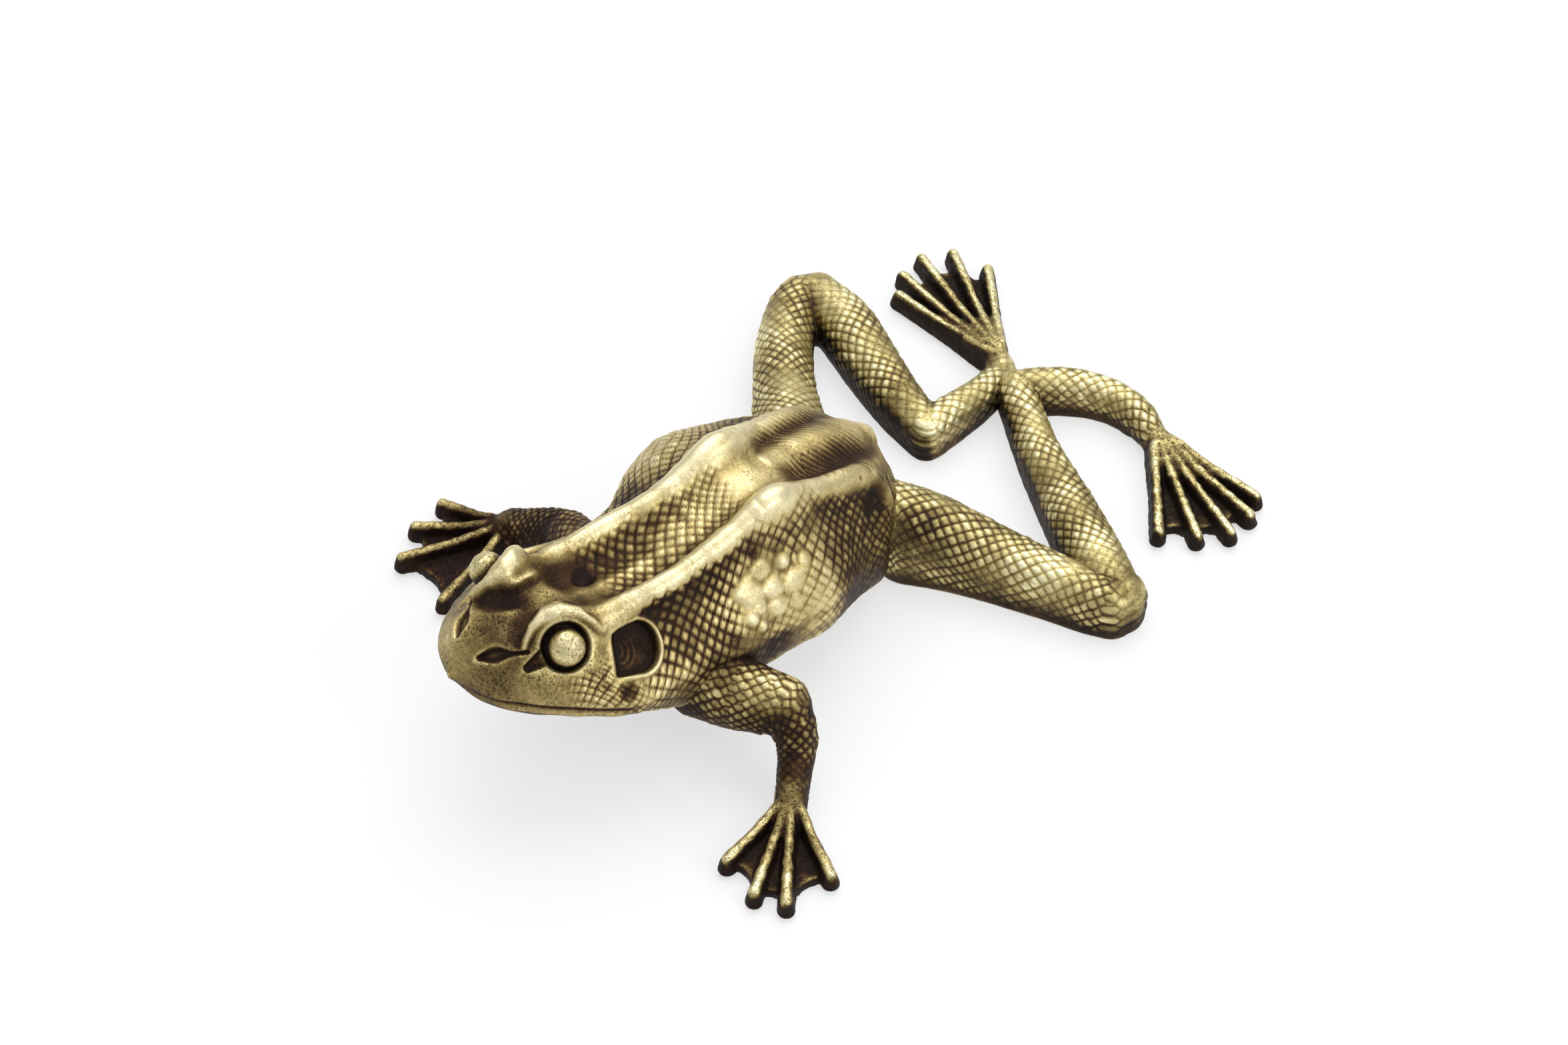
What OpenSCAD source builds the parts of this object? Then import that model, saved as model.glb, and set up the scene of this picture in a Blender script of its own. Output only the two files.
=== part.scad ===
// Cast brass frog ornament, sprawled on its belly with the head raised.
// The frog's own left is +X, its snout points to -Y, and it lies on z = 0.

/* [Body] */
// Height of the two humps on the back
hump_h = 34; // [32:0.5:36]
// Width of the belly at its widest
belly_w = 39; // [36:0.5:42]
// Width of the head across the jaw corners
head_w = 32; // [30:0.5:34]
// Thickness of the cast wall
wall = 2.4; // [2:0.1:3]
// Radius of the rounded ridges along the back
ridge_r = 1.5; // [1.2:0.1:1.8]

/* [Eyes and ears] */
// Radius of each eye bead
eye_r = 2.5; // [2.2:0.1:2.8]
// Radius of the round ear dish
ear_r = 3.4; // [3:0.1:3.8]

/* [Limbs] */
// Scale of every limb's thickness
limb_k = 1; // [0.9:0.05:1.1]
// Radius of a toe at its tip
toe_r = 1.8; // [1.5:0.1:2]
// Thickness of the web between the toes
web_t = 1.5; // [1.2:0.1:2]
// Radius of the spigot that locates each limb in the body wall
spigot_r = 3; // [2.5:0.1:3.2]
// Clearance round each spigot and eye stem
fit_gap = 0.05; // [0.03:0.01:0.1]

/* [Smoothness] */
// Sections along the body
body_steps = 40; // [36:2:48]
// Points from the middle of the back to the widest part of the flank
round_steps = 13; // [10:1:16]
// Facets round a limb
limb_fn = 20; // [16:2:24]

/* [Hidden] */

brass = "#9a8558";
dark_brass = "#6b5a3c";

// Moves the frog's own midline so that the box of the whole frog is centred
centre_shift = [1.1, 0, 0];

head_k = head_w / 32;
belly_k = belly_w / 39;
hump_k = hump_h - 34;

snout_y = -59.5;
rump_y = 17;

// Body profiles, each a list of [y, value]
mid_x = [[snout_y, -0.6], [-46, 0], [-30, 0.8], [-14, 1.2], [-4, 0.2], [6, -2], [12, -3.4], [rump_y, -4.4]];
ridge_x = [[snout_y, 0.2], [-57, 2.4], [-52, 4.2], [-46, 6], [-40, 6.6], [-30, 8], [-20, 7.6],
    [-13, 7.2], [-5, 7.2], [4, 7.6], [10, 6.4], [rump_y, 0.2]];
ridge_z = [[snout_y, 22.6], [-57, 26], [-52, 28], [-46, 30.8], [-40, 28.4], [-30, 29.8], [-20, 32],
    [-13, 33.6 + hump_k], [-5, 29.4], [3, 26], [10, 19.5], [rump_y, 9]];
valley_z = [[snout_y, 22.6], [-57, 26.2], [-52, 28], [-46, 28.4], [-40, 27.2], [-32, 26.4], [-20, 29.2],
    [-13, 30], [-5, 28], [4, 26], [11, 21], [rump_y, 9]];
fullness = [[snout_y, 2], [-50, 1.5], [-40, 1.7], [-28, 2.2], [rump_y, 2.2]];
side_x = [[snout_y, 0.3], [-57.6, 5.2], [-53.4, 9.6], [-47, 13.6 * head_k], [-41, 16 * head_k],
    [-34, 15.2], [-26, 15.4], [-18, 17.2 * belly_k], [-11, 17.8 * belly_k], [-3, 16], [4, 13],
    [11, 8.4], [14.6, 5], [rump_y, 0.4]];
side_z = [[snout_y, 22.2], [-53, 21.4], [-41, 19], [-26, 18], [-8, 17], [4, 12], [rump_y, 8.4]];
edge_x = [[snout_y, 0.2], [-57.6, 3.6], [-53.4, 7.2], [-41, 11.5 * head_k], [-34, 12.4], [-27, 12.2],
    [-16, 14.4], [-8, 13.6], [2, 11], [10, 7.5], [rump_y, 0.3]];
flank_lean = [[snout_y, 0], [-30, 0.4], [-24, 0], [-19, -2], [-14, -3], [-9, -2.6], [-1, -3.2], [8, -1.4],
    [rump_y, 0]];
edge_z = [[snout_y, 21.8], [-57, 19.4], [-52, 17.6], [-41, 15.2], [-34, 11.4], [-27, 9.8], [-12, 9.2],
    [0, 5.6], [8, 1.4], [13, 1], [rump_y, 7.8]];

// The right side differs from the left: a fuller flank, and a ridge that lies nearer the midline and lower
right_square = [[snout_y, 0], [-25, 0], [-18, 1.2], [-12, 1.4], [-4, 0.8], [4, 0], [rump_y, 0]];
right_pull = [[snout_y, 0], [-42, 0], [-35, 1.2], [-27, 2.2], [-20, 2.2], [-13, 0.8], [-5, 0], [rump_y, 0]];
right_drop = [[snout_y, 0], [-42, 0], [-33, 0.5], [-24, 0.8], [-16, 0.4], [-10, 0], [rump_y, 0]];

// Limb paths, each point [x, y, underside height, top height, radius]
left_thigh = [[-2, 9, 1, 14, 6], [6, 15.6, 0, 12, 5.2], [13.4, 20, 0, 9.6, 4.6], [23, 24.6, 0, 8.2, 3.9],
    [30.4, 28, 0, 7.4, 3.2], [30, 30.4, 0, 7.2, 3.2]];
left_shank = [[30, 29.6, 0, 7.4, 3.6], [22, 31.8, 0, 8, 4.2], [12, 35.4, 0, 7.6, 3.8], [2, 39, 0, 6.8, 3.1],
    [-10.2, 44.6, 0, 6.6, 2.7]];
left_tarsus = [[-10.2, 44.6, 0, 6.6, 2.7], [-6.4, 50.4, 0, 6.6, 2.7], [-1.4, 54.4, 0, 6, 2.6],
    [4, 55.6, 0, 5.4, 2.4], [8, 54.8, 0, 4.6, 2.2]];
left_hind_toes = [[25.4, 58], [27.6, 55], [28.4, 50.8], [26.2, 46.8], [22.4, 43.2]];

right_thigh = [[-12, 6, 1, 14, 6], [-19.5, 11.4, 0, 12, 5.6], [-28.5, 17.4, 0, 9.6, 4.6],
    [-37, 24, 0, 8.2, 4.2], [-43.4, 31.4, 0, 7.4, 3.6], [-42.4, 34.6, 0, 7.2, 3.4]];
right_shank = [[-42.4, 34, 0, 7.4, 3.8], [-36, 34, 0, 8, 4.2], [-27, 32, 0, 7.6, 4], [-18, 30.2, 0, 7, 3.5],
    [-11.4, 29.4, 0, 6.8, 2.8]];
right_tarsus = [[-11.4, 29.4, 0, 6.8, 2.8], [-12, 35, 0, 6.6, 2.6], [-12.8, 41, 0, 6, 2.2],
    [-15.4, 46.8, 0, 4.8, 2.2]];
right_hind_toes = [[-36, 44.6], [-38.8, 47.6], [-40, 52], [-38, 56.2], [-32.4, 58]];

left_upper_arm = [[12, -28.4, 6, 17.8, 5.2], [17.6, -26.6, 6.8, 18, 4.5], [22.8, -22.6, 7, 16.2, 3.5]];
left_forearm = [[22.8, -22.6, 7, 16.2, 3.5], [25.8, -22.8, 4, 12, 2.7], [27.8, -25, 1, 8.4, 2.4],
    [29.8, -27, 0, 6.2, 2.3]];
left_fore_toes = [[42.8, -31], [42.9, -38.2], [39.2, -40.4], [32.8, -39.8]];

right_upper_arm = [[-12, -28.4, 6, 17.6, 5.2], [-17, -27, 6, 15.6, 4.2], [-21.5, -25.6, 5, 13.4, 3.4]];
right_forearm = [[-21.5, -25.6, 5, 13.4, 3.4], [-25, -26, 3, 11.4, 3], [-28.6, -26.6, 1, 9, 2.7],
    [-32.4, -27.4, 0, 6.6, 2.5]];
right_fore_toes = [[-42.2, -31.8], [-41, -37.2], [-37.4, -42], [-27.8, -42]];

// Eyes and ears on the left side, with the turn that makes +Z point out of the skin
eye_at = [8.6, -47, 26.6];
eye_turn = [0, 50, -25];
ear_at = [12.8, -38, 23];
ear_turn = [0, 55, 5];

// Smooth curve through a list of [position, value]
function seg(t, list, i = 0) = i >= len(list) - 2 || t < list[i + 1][0] ? i : seg(t, list, i + 1);
function slope(list, i) =
    let (a = max(i - 1, 0), b = min(i + 1, len(list) - 1))
    (list[b][1] - list[a][1]) / (list[b][0] - list[a][0]);
function curve(t, list) =
    let (i = seg(t, list), p = list[i], q = list[i + 1], h = q[0] - p[0], u = (t - p[0]) / h)
    p[1] * (2 * pow(u, 3) - 3 * pow(u, 2) + 1) + q[1] * (3 * pow(u, 2) - 2 * pow(u, 3))
    + h * (slope(list, i) * (pow(u, 3) - 2 * pow(u, 2) + u) + slope(list, i + 1) * (pow(u, 3) - pow(u, 2)));

// Height of the back at distance x from the midline: a rounded crown with a ridge on each side
function crown(u, f) = pow(1 - pow(min(u, 1), f), 0.7);
function flank_x(y, side) = max(curve(y, side_x) + side * curve(y, flank_lean), 0.3);
function right_only(y, side, list) = side < 0 ? curve(y, list) : 0;
function ridge_at(y, side) = curve(y, ridge_x) - right_only(y, side, right_pull);
function back_z(x, y, side) =
    let (sx = flank_x(y, side), sz = curve(y, side_z), rise = curve(y, valley_z) - sz,
         rx = min(ridge_at(y, side), sx * 0.9), f = curve(y, fullness) + right_only(y, side, right_square),
         top = curve(y, ridge_z) - right_only(y, side, right_drop),
         lift = top - sz - rise * crown(rx / sx, f))
    sz + rise * crown(x / sx, f) + max(lift, 0) * exp(-pow((x - rx) / 2.4, 2));

// One side of a section, from the middle of the back over the flank to the lower edge
function half_section(y, inset, drop, side) =
    let (sx = flank_x(y, side), sz = curve(y, side_z),
         ex = sx * min(curve(y, edge_x) / curve(y, side_x), 0.95),
         ez = min(curve(y, edge_z), sz - 0.2) - drop, k = max(1 - inset / sx, 0.1))
    concat(
        [for (i = [0:round_steps])
            let (x = sx * sin(90 * i / round_steps)) [x * k, back_z(x, y, side) - inset]],
        [for (a = [22.5:22.5:90])
            [(ex + (sx - ex) * cos(a)) * k, sz - inset - (sz - inset - ez) * sin(a)]]);

function ring(y, inset, drop) =
    let (left = half_section(y, inset, drop, 1), right = half_section(y, inset, drop, -1),
         m = curve(y, mid_x))
    concat([for (p = left) [m + p[0], y, p[1]]],
        [for (i = [len(right) - 1:-1:1]) [m - right[i][0], y, right[i][1]]]);

// Closed loft between two places along the body; inset and drop make the space inside it
module body_loft(y0, y1, steps, inset, drop) {
    rings = [for (i = [0:steps]) ring((y0 + y1) / 2 - (y1 - y0) / 2 * cos(180 * i / steps), inset, drop)];
    n = len(rings[0]);
    sides = [for (i = [0:steps - 1], j = [0:n - 1]) let (k = (j + 1) % n)
        each [[i * n + j, (i + 1) * n + j, (i + 1) * n + k], [i * n + j, (i + 1) * n + k, i * n + k]]];
    ends = [[for (j = [0:n - 1]) j], [for (j = [n - 1:-1:0]) steps * n + j]];
    polyhedron(points = [for (r = rings) each r], faces = concat(sides, ends), convexity = 8);
}

module body_outside() {
    body_loft(snout_y, rump_y, body_steps, 0, 0);
}

module body_inside() {
    body_loft(-43, 12, 20, wall, 6);
}

// A short length of limb at point p: round on top, and flat below where it lies on the table
module stud(p) {
    h = p[3] - p[2];
    r = p[4] * limb_k;
    if (p[2] == 0) {
        dome = min(r, h * 0.75);
        translate([p[0], p[1], h - dome]) scale([1, 1, dome / r]) sphere(r, $fn = limb_fn);
        translate([p[0], p[1], 0]) cylinder(r = r * 0.96, h = 1, $fn = limb_fn);
    } else {
        translate([p[0], p[1], p[2] + h / 2]) scale([1, 1, h / 2 / r]) sphere(r, $fn = limb_fn);
    }
}

module limb_run(path) {
    for (i = [0:len(path) - 2]) {
        hull() {
            stud(path[i]);
            stud(path[i + 1]);
        }
    }
}

// Webbed foot: toes fan out from the root, with a thin web between each pair
function between(a, b, k) = a + (b - a) * k;
module foot(root, tips) {
    heel = [root[0], root[1]];
    for (tip = tips) {
        middle = between(heel, tip, 0.55);
        limb_run([[heel[0], heel[1], 0, 4.2, 1.7], [middle[0], middle[1], 0, 3.2, toe_r * 0.8],
            [tip[0], tip[1], 0, 3.4, toe_r]]);
    }
    for (i = [0:len(tips) - 2]) {
        linear_extrude(web_t) polygon([heel, between(heel, tips[i], 0.95),
            between(heel, (tips[i] + tips[i + 1]) / 2, 0.88), between(heel, tips[i + 1], 0.95)]);
    }
}

// Round spigot that runs from a limb's root through the body wall
module spigot(at, turn, grow) {
    translate(at) rotate(turn) cylinder(r = spigot_r + grow, h = 14, center = true, $fn = 32);
}

module left_hip_spigot(grow) {
    spigot([3.6, 13.2, 6], [0, 90, 39], grow);
}

module right_hip_spigot(grow) {
    spigot([-14.4, 7.8, 6.8], [0, 90, 145], grow);
}

module shoulder_spigot(grow) {
    spigot([14, -27.2, 13], [0, 90, 14], grow);
}

module both_sides() {
    children();
    mirror([1, 0, 0]) children();
}

// Places its children on the skin with +Z pointing outwards
module on_skin(at, turn) {
    translate(at) rotate(turn) children();
}

module brow() {
    on_skin(eye_at, eye_turn) rotate_extrude($fn = 28) translate([eye_r + 1.1, 0]) circle(0.9, $fn = 8);
}

module eye_socket() {
    on_skin(eye_at, eye_turn) {
        translate([0, 0, -1.6]) cylinder(r = eye_r + 0.4, h = 6, $fn = 28);
        translate([0, 0, -5]) cylinder(r = 1 + fit_gap, h = 5, $fn = 20);
    }
}

module ear_rim() {
    on_skin(ear_at, ear_turn) rotate_extrude($fn = 28) translate([ear_r, 0]) circle(0.8, $fn = 8);
}

module ear_dish() {
    on_skin(ear_at, ear_turn) translate([0, 0, 0.9]) scale([1, 1, 0.5]) sphere(ear_r - 0.3, $fn = 24);
}

module nostril() {
    hull() {
        translate([2.6, -57.2, 26]) sphere(0.6, $fn = 10);
        translate([4.6, -54.4, 26.8]) sphere(0.6, $fn = 10);
    }
}

// Rounded ridge from behind the eye over the hump to the hip
module back_ridge(side) {
    for (y = [-40:4:0]) {
        hull() {
            for (v = [y, y + 4]) {
                x = ridge_at(v, side);
                translate([curve(v, mid_x) + side * x, v, back_z(x, v, side) - ridge_r * 0.7])
                    sphere(ridge_r, $fn = 10);
            }
        }
    }
}

module body_casting() {
    color(brass) translate(centre_shift) union() {
        difference() {
            union() {
                body_outside();
                back_ridge(1);
                back_ridge(-1);
                both_sides() {
                    brow();
                    ear_rim();
                }
            }
            body_inside();
            left_hip_spigot(fit_gap);
            right_hip_spigot(fit_gap);
            both_sides() {
                shoulder_spigot(fit_gap);
                eye_socket();
                ear_dish();
                nostril();
            }
        }
    }
}

// A limb stops at the body's skin and at the table
module trimmed() {
    difference() {
        children();
        body_outside();
        translate([0, 0, -20]) cube([200, 200, 40], center = true);
    }
}

module foreleg(upper, fore, toes) {
    trimmed() {
        union() {
            limb_run(upper);
            limb_run(fore);
            foot(fore[3], toes);
        }
    }
}

module hind_leg(thigh, shank, tarsus, toes) {
    trimmed() {
        union() {
            limb_run(thigh);
            limb_run(shank);
            limb_run(tarsus);
            foot(tarsus[len(tarsus) - 1], toes);
        }
    }
}

module left_foreleg() {
    color(dark_brass) translate(centre_shift) union() {
        foreleg(left_upper_arm, left_forearm, left_fore_toes);
        shoulder_spigot(0);
    }
}

module right_foreleg() {
    color(dark_brass) translate(centre_shift) union() {
        foreleg(right_upper_arm, right_forearm, right_fore_toes);
        mirror([1, 0, 0]) shoulder_spigot(0);
    }
}

module left_hind_leg() {
    color(dark_brass) translate(centre_shift) union() {
        hind_leg(left_thigh, left_shank, left_tarsus, left_hind_toes);
        left_hip_spigot(0);
    }
}

module right_hind_leg() {
    color(dark_brass) translate(centre_shift) union() {
        hind_leg(right_thigh, right_shank, right_tarsus, right_hind_toes);
        right_hip_spigot(0);
    }
}

module eye() {
    on_skin(eye_at, eye_turn) {
        translate([0, 0, 0.9]) sphere(eye_r, $fn = 40);
        translate([0, 0, -4.6]) cylinder(r = 1, h = 4.6, $fn = 24);
    }
}

module left_eye() {
    color(brass) translate(centre_shift) eye();
}

module right_eye() {
    color(brass) translate(centre_shift) mirror([1, 0, 0]) eye();
}

body_casting();
left_foreleg();
right_foreleg();
left_hind_leg();
right_hind_leg();
left_eye();
right_eye();
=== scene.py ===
from math import cos, pi, radians, sin

import bmesh
import bpy
import numpy as np
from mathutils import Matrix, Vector


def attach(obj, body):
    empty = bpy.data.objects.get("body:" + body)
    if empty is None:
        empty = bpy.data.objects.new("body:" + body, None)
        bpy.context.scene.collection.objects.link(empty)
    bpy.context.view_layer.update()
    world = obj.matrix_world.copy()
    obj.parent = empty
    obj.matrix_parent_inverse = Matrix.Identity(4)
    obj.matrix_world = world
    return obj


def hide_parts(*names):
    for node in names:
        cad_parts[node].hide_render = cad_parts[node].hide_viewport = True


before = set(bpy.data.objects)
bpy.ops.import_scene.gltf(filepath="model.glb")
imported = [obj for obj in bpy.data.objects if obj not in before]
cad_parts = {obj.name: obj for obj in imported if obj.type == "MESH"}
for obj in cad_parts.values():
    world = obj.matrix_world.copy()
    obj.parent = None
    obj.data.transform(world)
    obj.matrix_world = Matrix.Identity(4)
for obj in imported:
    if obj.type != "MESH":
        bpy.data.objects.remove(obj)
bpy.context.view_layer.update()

# Everything below is worked out in mm in the frog's own axes, then put in its place in metres
frog = {
    "mm": 0.001,
    "midline": 1.1,  # the frog's midline sits this far to +X of the frame's origin, mm
    "snoutY": -59.5,
    "rumpY": 17.0,
    "seed": 7,
}

# ---------- smooth profiles ----------

def curve(t, keys):
    # Smooth curve through [place, value] pairs, for an array of places
    k = np.array(keys, float)
    x, v = k[:, 0], k[:, 1]
    slope = np.empty(len(x))
    slope[1:-1] = (v[2:] - v[:-2]) / (x[2:] - x[:-2])
    slope[0] = (v[1] - v[0]) / (x[1] - x[0])
    slope[-1] = (v[-1] - v[-2]) / (x[-1] - x[-2])
    t = np.clip(np.asarray(t, float), x[0], x[-1])
    i = np.clip(np.searchsorted(x, t, side="right") - 1, 0, len(x) - 2)
    h = x[i + 1] - x[i]
    u = (t - x[i]) / h
    return (v[i] * (2 * u**3 - 3 * u**2 + 1) + v[i + 1] * (3 * u**2 - 2 * u**3)
            + h * (slope[i] * (u**3 - 2 * u**2 + u) + slope[i + 1] * (u**3 - u**2)))

def smoothStep(a, b, t):
    u = np.clip((t - a) / (b - a), 0, 1)
    return u * u * (3 - 2 * u)

# ---------- body ----------

snoutY, rumpY = frog["snoutY"], frog["rumpY"]
body = {
    "rows": 370,  # sections from snout to rump
    "skinColumns": 238,  # points across the skin of one section
    "insideColumns": 26,  # points across the hollow
    "wall": 2.3,
    # profiles along the body, [y, value]
    "midX": [[snoutY, -0.6], [-46, 0], [-30, 0.8], [-14, 1.2], [-4, 0.2], [6, -2], [12, -3.4], [rumpY, -4.4]],
    "valleyZ": [[snoutY, 22.6], [-57, 26.2], [-52, 28], [-46, 28.4], [-40, 27.2], [-32, 26.4], [-20, 29.2],
                [-13, 30], [-5, 28], [4, 26], [11, 21], [rumpY, 9]],
    "ridgeX": [[snoutY, 0.2], [-57, 2.4], [-52, 4.2], [-46, 6], [-40, 6.6], [-30, 8], [-20, 7.6],
               [-13, 7.2], [-5, 7.2], [4, 7.6], [10, 6.4], [rumpY, 0.2]],
    "ridgeZ": [[snoutY, 22.6], [-57, 26], [-52, 28], [-46, 30.2], [-40, 28.4], [-30, 29.6], [-20, 31.6],
               [-13, 33.2], [-5, 29.2], [3, 25.8], [10, 19.5], [rumpY, 9]],
    "fullness": [[snoutY, 2], [-50, 1.5], [-40, 1.7], [-28, 2.2], [rumpY, 2.2]],
    "sideX": [[snoutY, 0.3], [-57.6, 5.2], [-53.4, 9.6], [-47, 13.6], [-41, 16], [-34, 15.2],
              [-26, 15.4], [-18, 17.2], [-11, 17.8], [-3, 16], [4, 13], [11, 8.4], [14.6, 5], [rumpY, 0.4]],
    "lean": [[snoutY, 0], [-30, 0.4], [-24, 0], [-19, -2], [-14, -3], [-9, -2.6], [-1, -3.2], [8, -1.4],
             [rumpY, 0]],
    # the right side differs: a fuller flank, and a ridge that lies nearer the midline and lower
    "rightSquare": [[snoutY, 0], [-25, 0], [-18, 1.2], [-12, 1.4], [-4, 0.8], [4, 0], [rumpY, 0]],
    "rightPull": [[snoutY, 0], [-42, 0], [-35, 1.2], [-27, 2.2], [-20, 2.2], [-13, 0.8], [-5, 0], [rumpY, 0]],
    "rightDrop": [[snoutY, 0], [-42, 0], [-33, 0.5], [-24, 0.8], [-16, 0.4], [-10, 0], [rumpY, 0]],
    "sideZ": [[snoutY, 22.2], [-53, 21.4], [-41, 19], [-26, 18], [-8, 17], [4, 12], [rumpY, 8.4]],
    "edgeX": [[snoutY, 0.2], [-57.6, 3.6], [-53.4, 7.2], [-41, 11.5], [-34, 12.4], [-27, 12.2], [-16, 14.4],
              [-8, 13.6], [2, 11], [10, 7.5], [rumpY, 0.3]],
    "edgeZ": [[snoutY, 21.8], [-57, 19.4], [-52, 17.6], [-41, 15.2], [-34, 11.4], [-27, 9.8], [-12, 9.2],
              [0, 5.6], [8, 1.6], [13, 1.2], [rumpY, 7.8]],
    "hollow": [[snoutY, 0], [-47, 0], [-38, 1], [6, 1], [12, 0], [rumpY, 0]],
}

def crown(u, f):
    return (1 - np.clip(u, 0, 1) ** f) ** 0.7

def backZ(x, y, side):
    # Height of the back at distance x from the midline, on the left (1) or the right (-1)
    onRight = 1 if side < 0 else 0
    sx = np.maximum(curve(y, body["sideX"]) + side * curve(y, body["lean"]), 0.3)
    sz = curve(y, body["sideZ"])
    rise = curve(y, body["valleyZ"]) - sz
    f = curve(y, body["fullness"]) + onRight * curve(y, body["rightSquare"])
    rx = np.minimum(curve(y, body["ridgeX"]) - onRight * curve(y, body["rightPull"]), sx * 0.9)
    top = curve(y, body["ridgeZ"]) - onRight * curve(y, body["rightDrop"])
    lift = np.maximum(top - sz - rise * crown(rx / sx, f), 0)
    return sz + rise * crown(x / sx, f) + lift * np.exp(-(((x - rx) / 2.4) ** 2))

def halfSection(y, side):
    # One side of the skin at y, from the middle of the back to the lower edge, as fine (x, z) points
    sx = max(float(curve(y, body["sideX"]) + side * curve(y, body["lean"])), 0.3)
    sz = float(curve(y, body["sideZ"]))
    ex = sx * min(float(curve(y, body["edgeX"]) / curve(y, body["sideX"])), 0.95)
    ez = min(float(curve(y, body["edgeZ"])), sz - 0.2)
    a = np.linspace(0, pi / 2, 160)
    x = sx * np.sin(a)
    top = np.stack([x, backZ(x, y, side)], 1)
    b = np.linspace(0, pi / 2, 60)[1:]
    low = np.stack([ex + (sx - ex) * np.cos(b), sz - (sz - ez) * np.sin(b)], 1)
    return np.concatenate([top, low])

def evenly(points, n):
    # The same line with n points spaced evenly along it, and how far along each one is
    step = np.linalg.norm(np.diff(points, axis=0), axis=1)
    s = np.concatenate([[0], np.cumsum(step)])
    t = np.linspace(0, s[-1], n)
    return np.stack([np.interp(t, s, points[:, k]) for k in range(points.shape[1])], 1), t

def sectionRing(y):
    # Closed section: the skin from the left edge over the back to the right edge, then back along the inside
    half = body["skinColumns"] // 2 + 1
    left, leftAt = evenly(halfSection(y, 1), half)
    right, rightAt = evenly(halfSection(y, -1), half)
    skin = np.concatenate([left[::-1], (right * [-1, 1])[1:]])
    around = np.concatenate([leftAt[::-1], -rightAt[1:]])
    hollow = min(max(float(curve(y, body["hollow"])), 0), 1)
    floorZ = skin[0, 1]
    lip = min(body["wall"] * 0.7, skin[0, 0] * 0.6)
    depth = hollow * (float(curve(y, body["valleyZ"])) - body["wall"] - floorZ)
    depth -= (1 - hollow) * min(skin[0, 0] * 0.12, 0.9)  # the solid ends are a little rounded underneath
    phi = np.linspace(0, pi, body["insideColumns"])
    inside = np.stack([(skin[0, 0] + skin[-1, 0]) / 2 - (skin[0, 0] - lip) * np.cos(phi),
                       floorZ + depth * np.sin(phi)], 1)
    ring = np.concatenate([skin, inside])
    around = np.concatenate([around, np.full(len(inside), 99.0)])
    x = ring[:, 0] + float(curve(y, body["midX"]))
    return np.stack([x, np.full(len(ring), y), ring[:, 1]], 1), around

def bodyRows():
    # Places of the sections, evenly spaced along the outline so that the snout and the rump come out round
    y = np.linspace(snoutY, rumpY, 2400)
    line = np.stack([y, 0.7 * curve(y, body["sideX"]), 0.7 * curve(y, body["valleyZ"])], 1)
    dense = 1 + 0.35 * (1 - smoothStep(-40, -30, y))  # the head carries finer detail
    step = np.linalg.norm(np.diff(line, axis=0), axis=1) * dense[1:]
    s = np.concatenate([[0], np.cumsum(step)])
    return np.interp(np.linspace(0, s[-1], body["rows"] + 1), s, y)

def meshFrom(bm, name):
    mesh = bpy.data.meshes.new(name)
    bm.to_mesh(mesh)
    bm.free()
    return mesh

def closeTube(bm):
    # A grid whose long edges meet becomes a tube with closed ends
    bmesh.ops.remove_doubles(bm, verts=[v for v in bm.verts if v.is_boundary], dist=1e-5)
    bmesh.ops.holes_fill(bm, edges=[e for e in bm.edges if e.is_boundary], sides=0)
    bmesh.ops.recalc_face_normals(bm, faces=bm.faces)

def makeBody():
    rows = bodyRows()
    rings = [sectionRing(y) for y in rows]
    n = len(rings[0][0])
    bm = bmesh.new()
    bmesh.ops.create_grid(bm, x_segments=n, y_segments=body["rows"], size=1)
    alongAt = bm.verts.layers.float.new("along")
    aroundAt = bm.verts.layers.float.new("around")
    for v in bm.verts:
        col = round((v.co.x + 1) / 2 * n) % n
        row = round((v.co.y + 1) / 2 * body["rows"])
        place, around = rings[row]
        v[alongAt] = rows[row]
        v[aroundAt] = around[col]
        v.co = place[col]
    closeTube(bm)
    return meshFrom(bm, "bodyCasting")

def points(mesh):
    co = np.empty(len(mesh.vertices) * 3, np.float32)
    mesh.vertices.foreach_get("co", co)
    return co.reshape(-1, 3).astype(float)

def normals(mesh):
    no = np.empty(len(mesh.vertices) * 3, np.float32)
    mesh.vertex_normals.foreach_get("vector", no)
    return no.reshape(-1, 3).astype(float)

def setPoints(mesh, co):
    mesh.vertices.foreach_set("co", co.astype(np.float32).ravel())
    mesh.update()

def attribute(mesh, name):
    values = np.empty(len(mesh.vertices), np.float32)
    mesh.attributes[name].data.foreach_get("value", values)
    return values.astype(float)

# ---------- camera, floor and light ----------

view = {
    "target": (-11.4, 4.75, 0),  # mm
    "distance": 680,  # mm
    "azimuth": 52,  # degrees round from the snout towards the frog's left
    "elevation": 46,
    "lens": 112.1,
    "floor": (0.34, 0.34, 0.345),
    "floorGlow": 0.625,  # the floor gives back some light of its own, so shadows stay pale
    "floorSize": 4,  # metres
}

def makeCamera():
    e, a = radians(view["elevation"]), radians(view["azimuth"])
    back = Vector((sin(a) * cos(e), -cos(a) * cos(e), sin(e)))
    target = Vector(view["target"]) * frog["mm"]
    data = bpy.data.cameras.new("frogCamera")
    data.lens = view["lens"]
    data.sensor_width = 36
    data.clip_start = 0.05
    obj = bpy.data.objects.new("frogCamera", data)
    obj.location = target + back * view["distance"] * frog["mm"]
    obj.rotation_euler = back.to_track_quat("Z", "Y").to_euler()
    bpy.context.scene.collection.objects.link(obj)
    bpy.context.scene.camera = obj

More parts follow.
